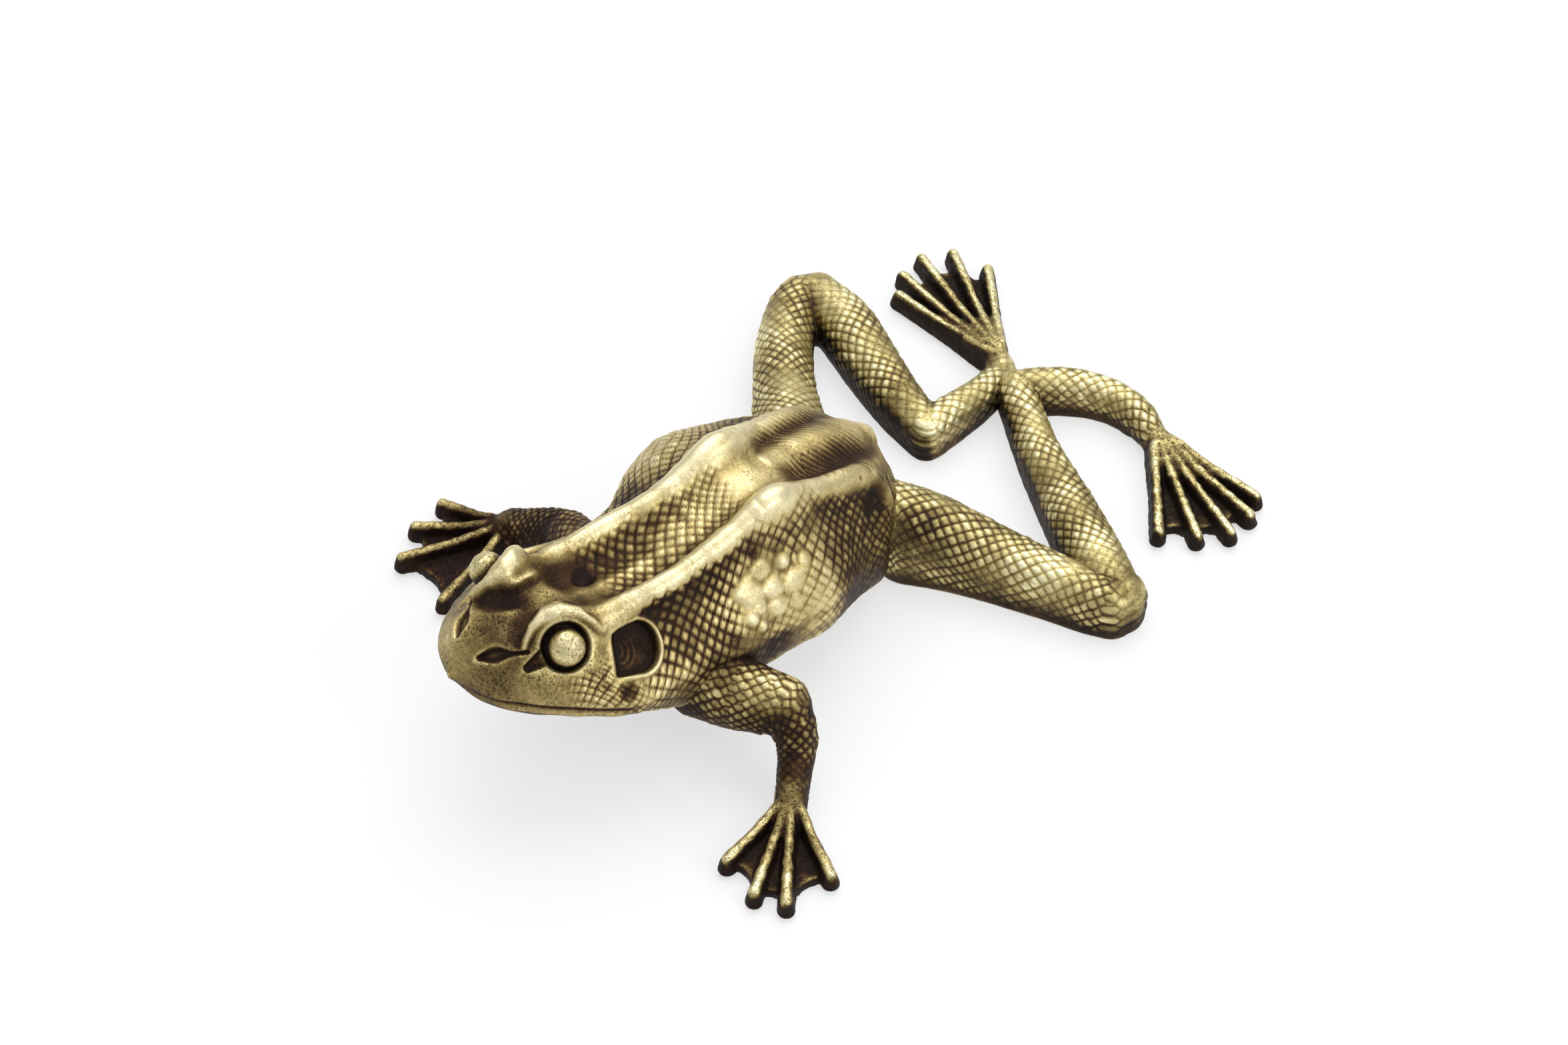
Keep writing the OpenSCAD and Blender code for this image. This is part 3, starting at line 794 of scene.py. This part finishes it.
def shapeBody(mesh):
    # Moves the skin out and in for every feature, and returns what the patina needs
    f = bodySkin(mesh)
    addRidges(f)
    addHollows(f)
    addWarts(f)
    for side in (1, -1):
        addEyelid(f, side)
        addEar(f, side)
        addNostril(f, side)
    addMouth(f)
    markPlainParts(f)
    addScales(f)
    uneven = 0.05 * wobble(f["co"], 3, 1) + relief["hatchDepth"] * f["hatch"]
    h = np.where(f["skin"], f["height"] + uneven, 0)
    setPoints(mesh, f["co"] + f["no"] * h[:, None])
    return f

bodyWearAndShade = {
    "start": 0.52,
    "rounds": (6, 50, 260),  # rounds of smoothing for the three widths
    # for each width: weight, height in mm that counts as 1, and the limits
    "heights": [(0.28, 0.12, -0.5, 0.5), (0.22, 0.3, -0.6, 1.1), (0.14, 0.9, -0.5, 1.2)],
    # weight of each marked part
    "parts": {"polish": 0.16, "dark": -0.55, "nape": -0.08, "bare": 0.12, "gutter": -0.16, "hatch": 0.11},
    "top": (0.78, 0.4),  # over the first value, only this share is kept
    "inside": 0.25,
    # patches of painted shade where parts meet and in creases, partly grime, [x, y, z, radius, darkness]
    "shadeAndGrime": [[-0.6, -37.6, 26.8, 2.6, 0.3], [7.6, 4.6, 19.5, 4.4, 0.26], [8.3, -15.6, 33.4, 0.6, 0.4],
              [15.2, -41.6, 20.4, 2.6, 0.3], [15.6, -27.4, 18.6, 5.6, 0.5], [17.0, -22.0, 16.0, 5.6, 0.5],
              [17.2, -17.6, 14.4, 4.0, 0.35], [10.8, -33.0, 24.4, 5.0, 0.2], [10.6, -26.0, 26.6, 3.4, 0.2],
              [10.6, -18.8, 28.2, 2.6, 0.1], [0, -33, 26.6, 4.5, 0.12], [-10.5, -24, 24, 5.5, 0.3],
              [15.4, -2, 18, 6, 0.12]],
}

def wearByHeightAndShade(mesh, co, wearAndShade):
    # High places are rubbed bright and low places stay dark, over three widths; then the listed patches are
    # darkened with painted shade, partly grime
    rubbedAndShaded = wearAndShade["start"]
    for (weight, full, low, high), rise in zip(wearAndShade["heights"], highAndLow(mesh, co, wearAndShade["rounds"])):
        rubbedAndShaded = rubbedAndShaded + weight * np.clip(rise / full, low, high)
    for x, y, z, r, amount in wearAndShade["shadeAndGrime"]:
        rubbedAndShaded = rubbedAndShaded - amount * spot(co, x, y, z, r)
    return rubbedAndShaded

def bodyPatina(mesh, f):
    co, no = points(mesh), normals(mesh)
    rubbedAndShaded = wearByHeightAndShade(mesh, co, bodyWearAndShade)
    for part, weight in bodyWearAndShade["parts"].items():
        rubbedAndShaded += weight * f[part]
    rubbedAndShaded += f["scaled"] * (0.18 * (f["scale"] - 0.62) + 0.16 * (f["chance"] - 0.5) - 0.02)
    rubbedAndShaded += f["shoulder"] * (0.26 * (f["scale"] - 0.66) - 0.12)
    rubbedAndShaded -= 0.03 * f["head"] * (1 - f["dark"])
    # palest over the humps and the middle of the flank, browner on the rump
    rubbedAndShaded += 0.13 * bump((f["along"] + 18) / 17) - 0.20 * smoothStep(-9, -4, f["along"])
    rubbedAndShaded += wobble(co, 13, 0.09)
    # painted shade: the skin is darker where it turns down, away from the overhead light
    rubbedAndShaded -= 0.12 * smoothStep(0.5, 0.1, no[:, 2]) + 0.24 * smoothStep(0.1, -0.4, no[:, 2])
    top, kept = bodyWearAndShade["top"]
    rubbedAndShaded = np.minimum(rubbedAndShaded, top + kept * (rubbedAndShaded - top))
    rubbedAndShaded = np.where(f["skin"], rubbedAndShaded, bodyWearAndShade["inside"])
    addAttribute(mesh, "rubbedAndShaded", rubbedAndShaded)
    addAttribute(mesh, "ruddy", 0.15 + 0.5 * smoothStep(0.4, 0.1, rubbedAndShaded))
    patchy = np.clip(0.65 + wobble(co, 6, 0.5), 0.15, 1)
    snout = smoothStep(-38, -46, f["along"])
    pitted = patchy * (0.85 * snout * (1 - 0.6 * f["polish"]) + 0.35 * f["polish"] * (1 - snout))
    addAttribute(mesh, "pitted", f["skin"] * pitted)

def bodyArc():
    # Distance walked along the back for each place y, for laying out the scales
    y = np.linspace(snoutY, rumpY, 400)
    z = curve(y, body["valleyZ"])
    return y, np.concatenate([[0], np.cumsum(np.hypot(np.diff(y), np.diff(z)))])

bodyMesh = makeBody()
bodyPatina(bodyMesh, shapeBody(bodyMesh))
print("body", len(bodyMesh.vertices), "vertices")

# ---------- limbs ----------

limbs = {
    "voxel": 0.25,
    "spacing": 2.6,  # mm between the sections that make up a limb
    "rootInside": 1.1,  # how far a limb's root runs into the body's wall
    "clear": 0.3,  # an underside lower than this lies on the table
    "dome": 0.75,  # the most of a section's height that its round top takes
    # a toe's sections: top, half-width at the base and half-width on top
    "toeHeel": (5.4, 1.7, 0.8),
    "toeMiddle": (3.6, 1.2, 0.7),
    "toeTip": (3.4, 1.4, 0.875),
    "webTop": 1.7,
    "webTip": 0.95,  # how far the web reaches along a toe
    "webMiddle": 0.9,  # and halfway between two toes
    # pitch of the scales in mm, sharpness of the grooves and height
    "hindScale": 1.95,
    "foreScale": 1.5,
    "scaleSharp": 3.2,
    "scaleUp": 0.24,
    # each point is [x, y, underside, top, radius]
    "leftHindLeg": {
        "node": "left_hind_leg",
        "runs": [
            [[-2, 9, 1, 14, 6], [6, 15.6, 0, 12, 5.2], [13.4, 20, 0, 9.6, 4.6], [23, 24.6, 0, 8.2, 3.9],
             [30.4, 28, 0, 7.4, 3.2], [30, 30.4, 0, 7.2, 3.2]],
            [[30, 29.6, 0, 7.4, 3.6], [22, 31.8, 0, 8, 4.2], [12, 35.4, 0, 7.6, 3.8], [2, 39, 0, 6.8, 3.1],
             [-10.2, 44.6, 0, 6.6, 2.7]],
            [[-10.2, 44.6, 0, 6.6, 2.7], [-6.4, 50.4, 0, 6.6, 2.7], [-1.4, 54.4, 0, 6, 2.6],
             [4, 55.6, 0, 5.4, 2.4], [8, 54.8, 0, 4.6, 2.2]],
        ],
        "toes": [[25.4, 58], [27.6, 55], [28.4, 50.8], [26.2, 46.8], [22.4, 43.2]],
    },
    "rightHindLeg": {
        "node": "right_hind_leg",
        "runs": [
            [[-12, 6, 1, 14, 6], [-19.5, 11.4, 0, 12, 5.6], [-28.5, 17.4, 0, 9.6, 4.6],
             [-37, 24, 0, 8.2, 4.2], [-43.4, 31.4, 0, 7.4, 3.6], [-42.4, 34.6, 0, 7.2, 3.4]],
            [[-42.4, 34, 0, 7.4, 3.8], [-36, 34, 0, 8, 4.2], [-27, 32, 0, 7.6, 4], [-18, 30.2, 0, 7, 3.5],
             [-11.4, 29.4, 0, 6.8, 2.8]],
            [[-11.4, 29.4, 0, 6.8, 2.8], [-12, 35, 0, 6.6, 2.6], [-12.8, 41, 0, 6, 2.2],
             [-15.4, 46.8, 0, 4.8, 2.2]],
        ],
        "toes": [[-36, 44.6], [-38.8, 47.6], [-40, 52], [-38, 56.2], [-32.4, 58]],
    },
    "leftForeleg": {
        "node": "left_foreleg",
        "runs": [
            [[12, -28.4, 6, 17.8, 5.2], [17.6, -26.6, 6.8, 18, 4.5], [22.8, -22.6, 7, 16.2, 3.5]],
            [[22.8, -22.6, 7, 16.2, 3.5], [25.8, -22.8, 4, 12, 2.7], [27.8, -25, 1, 8.4, 2.4],
             [29.8, -27, 0, 6.2, 2.3]],
        ],
        "toes": [[42.8, -31], [42.9, -38.2], [39.2, -40.4], [32.8, -39.8]],
    },
    "rightForeleg": {
        "node": "right_foreleg",
        "runs": [
            [[-12, -28.4, 6, 17.6, 5.2], [-17, -27, 6, 15.6, 4.2], [-21.5, -25.6, 5, 13.4, 3.4]],
            [[-21.5, -25.6, 5, 13.4, 3.4], [-25, -26, 3, 11.4, 3], [-28.6, -26.6, 1, 9, 2.7],
             [-32.4, -27.4, 0, 6.6, 2.5]],
        ],
        "toes": [[-42.2, -31.8], [-41, -37.2], [-37.4, -42], [-27.8, -42]],
    },
}

def sampled(path, spacing):
    # The path as a smooth curve with a section every few mm
    p = np.array(path, float)
    s = np.concatenate([[0], np.cumsum(np.hypot(*np.diff(p[:, :2], axis=0).T))])
    t = np.linspace(0, s[-1], max(int(s[-1] / spacing), 2) + 1)
    out = np.stack([curve(t, np.column_stack([s, p[:, k]])) for k in range(5)], 1)
    out[:, 2] = np.maximum(out[:, 2], 0)
    return out

def stud(bm, x, y, low, top, r):
    # One section of a limb: a dome on straight walls where it lies on the table, or a ball above it
    verts = bmesh.ops.create_uvsphere(bm, u_segments=28, v_segments=14, radius=1)["verts"]
    tall = top - low
    dome = min(r, tall * limbs["dome"]) if low < limbs["clear"] else tall / 2
    for v in verts:
        if v.co.z >= -0.01 or low >= limbs["clear"]:
            v.co = (x + v.co.x * r, y + v.co.y * r, top - dome + v.co.z * dome)
        else:
            v.co = (x + v.co.x * r * 0.97, y + v.co.y * r * 0.97, 0)
    return verts

def roof(bm, x, y, top, r, peak):
    # One section of a toe: a narrow rounded top over a wider base
    verts = bmesh.ops.create_uvsphere(bm, u_segments=16, v_segments=8, radius=1)["verts"]
    for v in verts:
        if v.co.z >= -0.01:
            v.co = (x + v.co.x * peak, y + v.co.y * peak, top - peak + v.co.z * peak)
        else:
            v.co = (x + v.co.x * r, y + v.co.y * r, (1 + v.co.z) * 1.1)
    return verts

def hull(bm, verts):
    # The convex hull of the points, without those inside it
    made = bmesh.ops.convex_hull(bm, input=verts, use_existing_faces=False)
    spare = [g for g in made["geom_interior"] + made["geom_unused"] if isinstance(g, bmesh.types.BMVert)]
    bmesh.ops.delete(bm, geom=list(set(spare)), context="VERTS")

def join(whole, bm):
    part = meshFrom(bm, "part")
    whole.from_mesh(part)
    bpy.data.meshes.remove(part)

def addRun(whole, sections, make):
    # A chain of hulls, each over two sections that follow each other
    for a, b in zip(sections[:-1], sections[1:]):
        bm = bmesh.new()
        hull(bm, make(bm, *a) + make(bm, *b))
        join(whole, bm)

def addWeb(whole, heel, a, b):
    # Thin web between two toes, with a scalloped front edge
    middle = heel + ((a + b) / 2 - heel) * limbs["webMiddle"]
    for tip in (a, b):
        bm = bmesh.new()
        corners = [heel, heel + (tip - heel) * limbs["webTip"], middle]
        hull(bm, [bm.verts.new((x, y, z)) for x, y in corners for z in (0, limbs["webTop"])])
        join(whole, bm)

def makeCore():
    # The body's solid shape a little under its skin, which cuts the limbs' roots to fit inside the wall
    bm = bmesh.new()
    rows = np.linspace(snoutY, rumpY, 90)
    columns = 80
    bmesh.ops.create_grid(bm, x_segments=columns, y_segments=len(rows) - 1, size=1)
    rings = []
    for y in rows:
        ring, around = sectionRing(y)
        skin = ring[around < 90]
        loop = np.concatenate([skin, skin[:1]])
        rings.append(evenly(loop, columns + 1)[0])
    for v in bm.verts:
        col = round((v.co.x + 1) / 2 * columns) % columns
        v.co = rings[round((v.co.y + 1) / 2 * (len(rows) - 1))][col]
    closeTube(bm)
    bmesh.ops.triangulate(bm, faces=bm.faces)
    mesh = meshFrom(bm, "bodyCore")
    setPoints(mesh, points(mesh) - normals(mesh) * limbs["rootInside"])
    obj = bpy.data.objects.new("bodyCore", mesh)
    bpy.context.scene.collection.objects.link(obj)
    return obj

def applied(obj):
    # The mesh with its modifiers applied; the object is removed
    ready = obj.evaluated_get(bpy.context.evaluated_depsgraph_get())
    mesh = bpy.data.meshes.new_from_object(ready)
    bpy.data.objects.remove(obj)
    return mesh

def makeLimb(name, core):
    limb = limbs[name]
    bm = bmesh.new()
    for run in limb["runs"]:
        addRun(bm, sampled(run, limbs["spacing"]), stud)
    heel = np.array(limb["runs"][-1][-1][:2], float)
    for tip in np.array(limb["toes"], float):
        way = (tip - heel) / np.linalg.norm(tip - heel)
        middle = heel + (tip - heel) * 0.55
        end = tip + way * 0.4
        places = [(heel - way, "toeHeel"), (middle, "toeMiddle"), (end, "toeTip")]
        addRun(bm, [(*place, *limbs[key]) for place, key in places], roof)
    for a, b in zip(limb["toes"][:-1], limb["toes"][1:]):
        addWeb(bm, heel, np.array(a, float), np.array(b, float))
    obj = bpy.data.objects.new(name, meshFrom(bm, name))
    bpy.context.scene.collection.objects.link(obj)
    blend = obj.modifiers.new("blend", "REMESH")
    blend.mode = "VOXEL"
    blend.voxel_size = limbs["voxel"]
    cut = obj.modifiers.new("root", "BOOLEAN")
    cut.operation = "DIFFERENCE"
    cut.object = core
    cut.solver = "MANIFOLD"
    return applied(obj)

def raisedPlace(limb, co):
    # For a foreleg, which stands clear of the table: place along its centre line and round it
    pieces = [sampled(run, 1.2) for run in limb["runs"]]
    line = np.concatenate([piece[min(i, 1):] for i, piece in enumerate(pieces)])
    middle = np.column_stack([line[:, :2], (line[:, 2] + line[:, 3]) / 2])
    for _ in range(3):  # rounds the elbow
        middle[1:-1] = (middle[:-2] + 2 * middle[1:-1] + middle[2:]) / 4
    places = np.concatenate([[0], np.cumsum(np.linalg.norm(np.diff(middle, axis=0), axis=1))])
    d, at, _, _ = alongLine(middle, co)
    radius = np.interp(at, places, line[:, 4])
    way = np.gradient(middle, axis=0)
    foot = np.stack([np.interp(at, places, middle[:, k]) for k in range(3)], 1)
    axis = np.stack([np.interp(at, places, way[:, k]) for k in range(3)], 1)
    axis /= np.linalg.norm(axis, axis=1)[:, None]
    outward = np.array([0.5 * np.sign(middle[0, 0]), -0.35, 0.75])
    outward = outward - (axis @ outward)[:, None] * axis
    across = np.cross(axis, outward)
    away = co - foot
    turn = np.arctan2(np.einsum("ij,ij->i", away, across), np.einsum("ij,ij->i", away, outward)) * radius
    elbow = places[len(pieces[0]) - 1]
    return at, turn, d / radius, (at > elbow).astype(float)

def tablePlace(limb, co):
    # For a hind leg, which lies on the table: place along it and over its round top
    miss = np.full(len(co), 99.0)
    s, w, part = np.zeros(len(co)), np.zeros(len(co)), np.zeros(len(co))
    start = 0.0
    for number, run in enumerate(limb["runs"]):
        line = sampled(run, 1.5)
        flat = np.column_stack([line[:, :2], np.zeros(len(line))])
        d, at, side, length = alongLine(flat, co * [1, 1, 0])
        places = np.linspace(0, length, len(line))
        radius, top, low = (np.interp(at, places, line[:, k]) for k in (4, 3, 2))
        domed = top - np.minimum(radius, (top - low) * limbs["dome"])
        centre = np.where(low < limbs["clear"], domed, (top + low) / 2)
        over = co[:, 2] - centre
        turn = np.where(over > 0, np.arctan2(d, np.maximum(over, 1e-6)) * radius, radius * pi / 2 - over)
        missed = np.hypot(d, np.maximum(over, 0)) / radius
        closer = missed < miss
        miss[closer] = missed[closer]
        s[closer], w[closer], part[closer] = (start + at)[closer], (turn * side)[closer], number
        start += length
    return s, w, miss, part

def shapeLimb(mesh, name):
    limb = limbs[name]
    edges = edgesOf(mesh)
    co = points(mesh)
    heel = np.array(limb["runs"][-1][-1][:2], float)
    tips = np.array(limb["toes"], float)
    reach = np.linalg.norm(tips - heel, axis=1).max()
    toward = tips.mean(0) - heel
    toward /= np.linalg.norm(toward)
    fromHeel = np.linalg.norm(co[:, :2] - heel, axis=1)
    foot = smoothStep(-0.5, 2.0, (co[:, :2] - heel) @ toward) * (fromHeel < reach + 3)
    onFore = "Foreleg" in name
    findPlace = raisedPlace if onFore else tablePlace
    miss = findPlace(limb, co)[2]
    foot *= smoothStep(1.0, 1.25, miss)
    hard = relaxed(co, edges, 2)
    soft = relaxed(hard, edges, 12)
    softer = relaxed(soft, edges, 130)
    crisp = foot * smoothStep(1.5, 4.5, fromHeel)
    co = soft + crisp[:, None] * (hard - soft)
    co += (smoothStep(5.0, 1.5, fromHeel) * (1 - crisp))[:, None] * (softer - soft)
    co[:, 2] = np.maximum(co[:, 2], 0)
    setPoints(mesh, co)
    no = normals(mesh)
    s, w, _, part = findPlace(limb, co)
    size = limbs["foreScale"] if onFore else limbs["hindScale"]
    s = s + wobble(co, 12, 0.4)
    w = w * 1.1 + wobble(co, 12, 0.4)
    scale, chance = pads(s, w, size, limbs["scaleSharp"])
    onTop = smoothStep(0.8, 2.6, co[:, 2]) * (1 - smoothStep(0.2, 0.7, foot))
    kneeShade = np.zeros(len(co))  # painted shade: walls that face each other inside the bend of the knee are darkened
    if not onFore:
        kneeShade = smoothStep(0.25, 0.7, no[:, 1] * np.where(part == 0, 1, -1)) * (part < 2)
        kneeShade *= smoothStep(6.0, 4.0, co[:, 2])
    for run in limb["runs"][:-1]:  # scales fade at each bend
        bend = np.linalg.norm(co[:, :2] - run[-1][:2], axis=1)
        onTop *= 1 - 0.6 * (not onFore) * smoothStep(3.2, 1.2, bend)
    onTop *= np.clip(0.75 + wobble(co, 8, 0.45), 0.3, 1)
    h = onTop * limbs["scaleUp"] * scaleHeight(scale, chance)
    h += 0.04 * wobble(co, 2.5, 1) + 0.03 * foot * wobble(co, 1.3, 1)
    lift = smoothStep(0.0, 0.5, co[:, 2])
    co = co + no * (h * lift)[:, None]
    co[:, 2] = np.maximum(co[:, 2], 0)
    setPoints(mesh, co)
    return {"foot": foot, "onTop": onTop, "scale": scale, "chance": chance, "kneeShade": kneeShade}

limbWearAndShade = {
    "start": 0.50,
    "rounds": (6, 50, 200),
    "heights": [(0.26, 0.12, -0.5, 0.6), (0.22, 0.35, -1.0, 1.3), (0.10, 0.9, -1, 1)],
    "kneeShade": 0.46,  # painted shade on facing walls in the bend of the knee
    "wall": (0.32, 0.14),  # painted shade on low walls near the table, and on any steep wall
    "web": 0.26,
    "toeSideShade": 0.30,
    "arm": (0.05, 0.26),  # all of a foreleg, and the forearm
    "rightForeleg": 0.2,
    "ruddy": {"leftForeleg": 1.0, "rightForeleg": 1.4, "leftHindLeg": 0.5, "rightHindLeg": 0.5},
    # patches of painted shade where the arm meets the flank and under it, partly grime
    "shadeAndGrime": [[15.6, -25.4, 18.0, 4.2, 0.5], [18.6, -22.4, 17.0, 4, 0.45], [24.6, -21.4, 14, 4.5, 0.3],
              [14.4, -31.4, 12.5, 3.6, 0.35], [8.2, 12.4, 12, 4, 0.3]],
}

def limbPatina(mesh, name, f):
    co, no = points(mesh), normals(mesh)
    z, up, foot = co[:, 2], no[:, 2], f["foot"]
    rubbedAndShaded = wearByHeightAndShade(mesh, co, limbWearAndShade)
    rubbedAndShaded += f["onTop"] * (0.07 + 0.20 * (f["scale"] - 0.62) + 0.16 * (f["chance"] - 0.5))
    rubbedAndShaded += wobble(co, 12, 0.09)
    # painted shade: low walls near the table and steep walls are darkened
    lowWallShade, steepWallShade = limbWearAndShade["wall"]
    rubbedAndShaded -= lowWallShade * smoothStep(3.4, 1.0, z) * smoothStep(0.75, 0.35, up) + limbWearAndShade["kneeShade"] * f["kneeShade"]
    rubbedAndShaded -= steepWallShade * smoothStep(0.55, 0.1, up)
    rubbedAndShaded -= limbWearAndShade["web"] * foot * smoothStep(2.8, 2.0, z)
    if "Foreleg" in name:
        arm, forearm = limbWearAndShade["arm"]
        rubbedAndShaded -= arm + forearm * smoothStep(16, 11, z) * (1 - foot)
    if name == "rightForeleg":
        rubbedAndShaded -= limbWearAndShade["rightForeleg"]
    # painted shade: the steep sides of the toes are darkened
    rubbedAndShaded -= limbWearAndShade["toeSideShade"] * foot * smoothStep(0.75, 0.3, up)
    addAttribute(mesh, "rubbedAndShaded", rubbedAndShaded)
    addAttribute(mesh, "ruddy", limbWearAndShade["ruddy"][name] * (0.1 + 0.6 * smoothStep(0.4, 0.15, rubbedAndShaded)))
    addAttribute(mesh, "pitted", 0.35 * (1 - f["onTop"]) + 0.5 * foot)

core = makeCore()
limbNames = ("leftHindLeg", "rightHindLeg", "leftForeleg", "rightForeleg")
limbMeshes = {name: makeLimb(name, core) for name in limbNames}
bpy.data.objects.remove(core)
for name, mesh in limbMeshes.items():
    limbPatina(mesh, name, shapeLimb(mesh, name))
    print(name, len(mesh.vertices), "vertices")

# ---------- eyes ----------

eye = {
    "radius": 2.45,
    "proud": 0.55,  # how far the bead's centre stands off the eye's centre
}

def makeEye(side):
    bm = bmesh.new()
    bmesh.ops.create_icosphere(bm, subdivisions=5, radius=eye["radius"])
    middle, _, outward = faces["eye"]
    place = Vector(middle) + Vector(outward) * eye["proud"]
    bmesh.ops.translate(bm, verts=bm.verts, vec=Vector((place.x * side, place.y, place.z)))
    mesh = meshFrom(bm, "leftEye" if side > 0 else "rightEye")
    co, no = points(mesh), normals(mesh)
    setPoints(mesh, co + no * wobble(co, 1.1, 0.035)[:, None])
    facing = no @ (np.array(outward) * [side, 1, 1])
    addAttribute(mesh, "rubbedAndShaded", 0.2 + 0.65 * smoothStep(0.1, 0.6, facing))
    addAttribute(mesh, "ruddy", np.full(len(co), 0.1))
    addAttribute(mesh, "pitted", np.full(len(co), 1.0))
    return mesh

leftEyeMesh, rightEyeMesh = makeEye(1), makeEye(-1)
print("eyes")

# ---------- pieces ----------

finishPiece("bodyCasting", bodyMesh, castBrass, "antique_brass", "body_casting")
for name, mesh in limbMeshes.items():
    finishPiece(name, mesh, castBrass, "antique_brass", limbs[name]["node"])
finishPiece("leftEye", leftEyeMesh, beadBrass, "eye_brass", "left_eye")
finishPiece("rightEye", rightEyeMesh, beadBrass, "eye_brass", "right_eye")
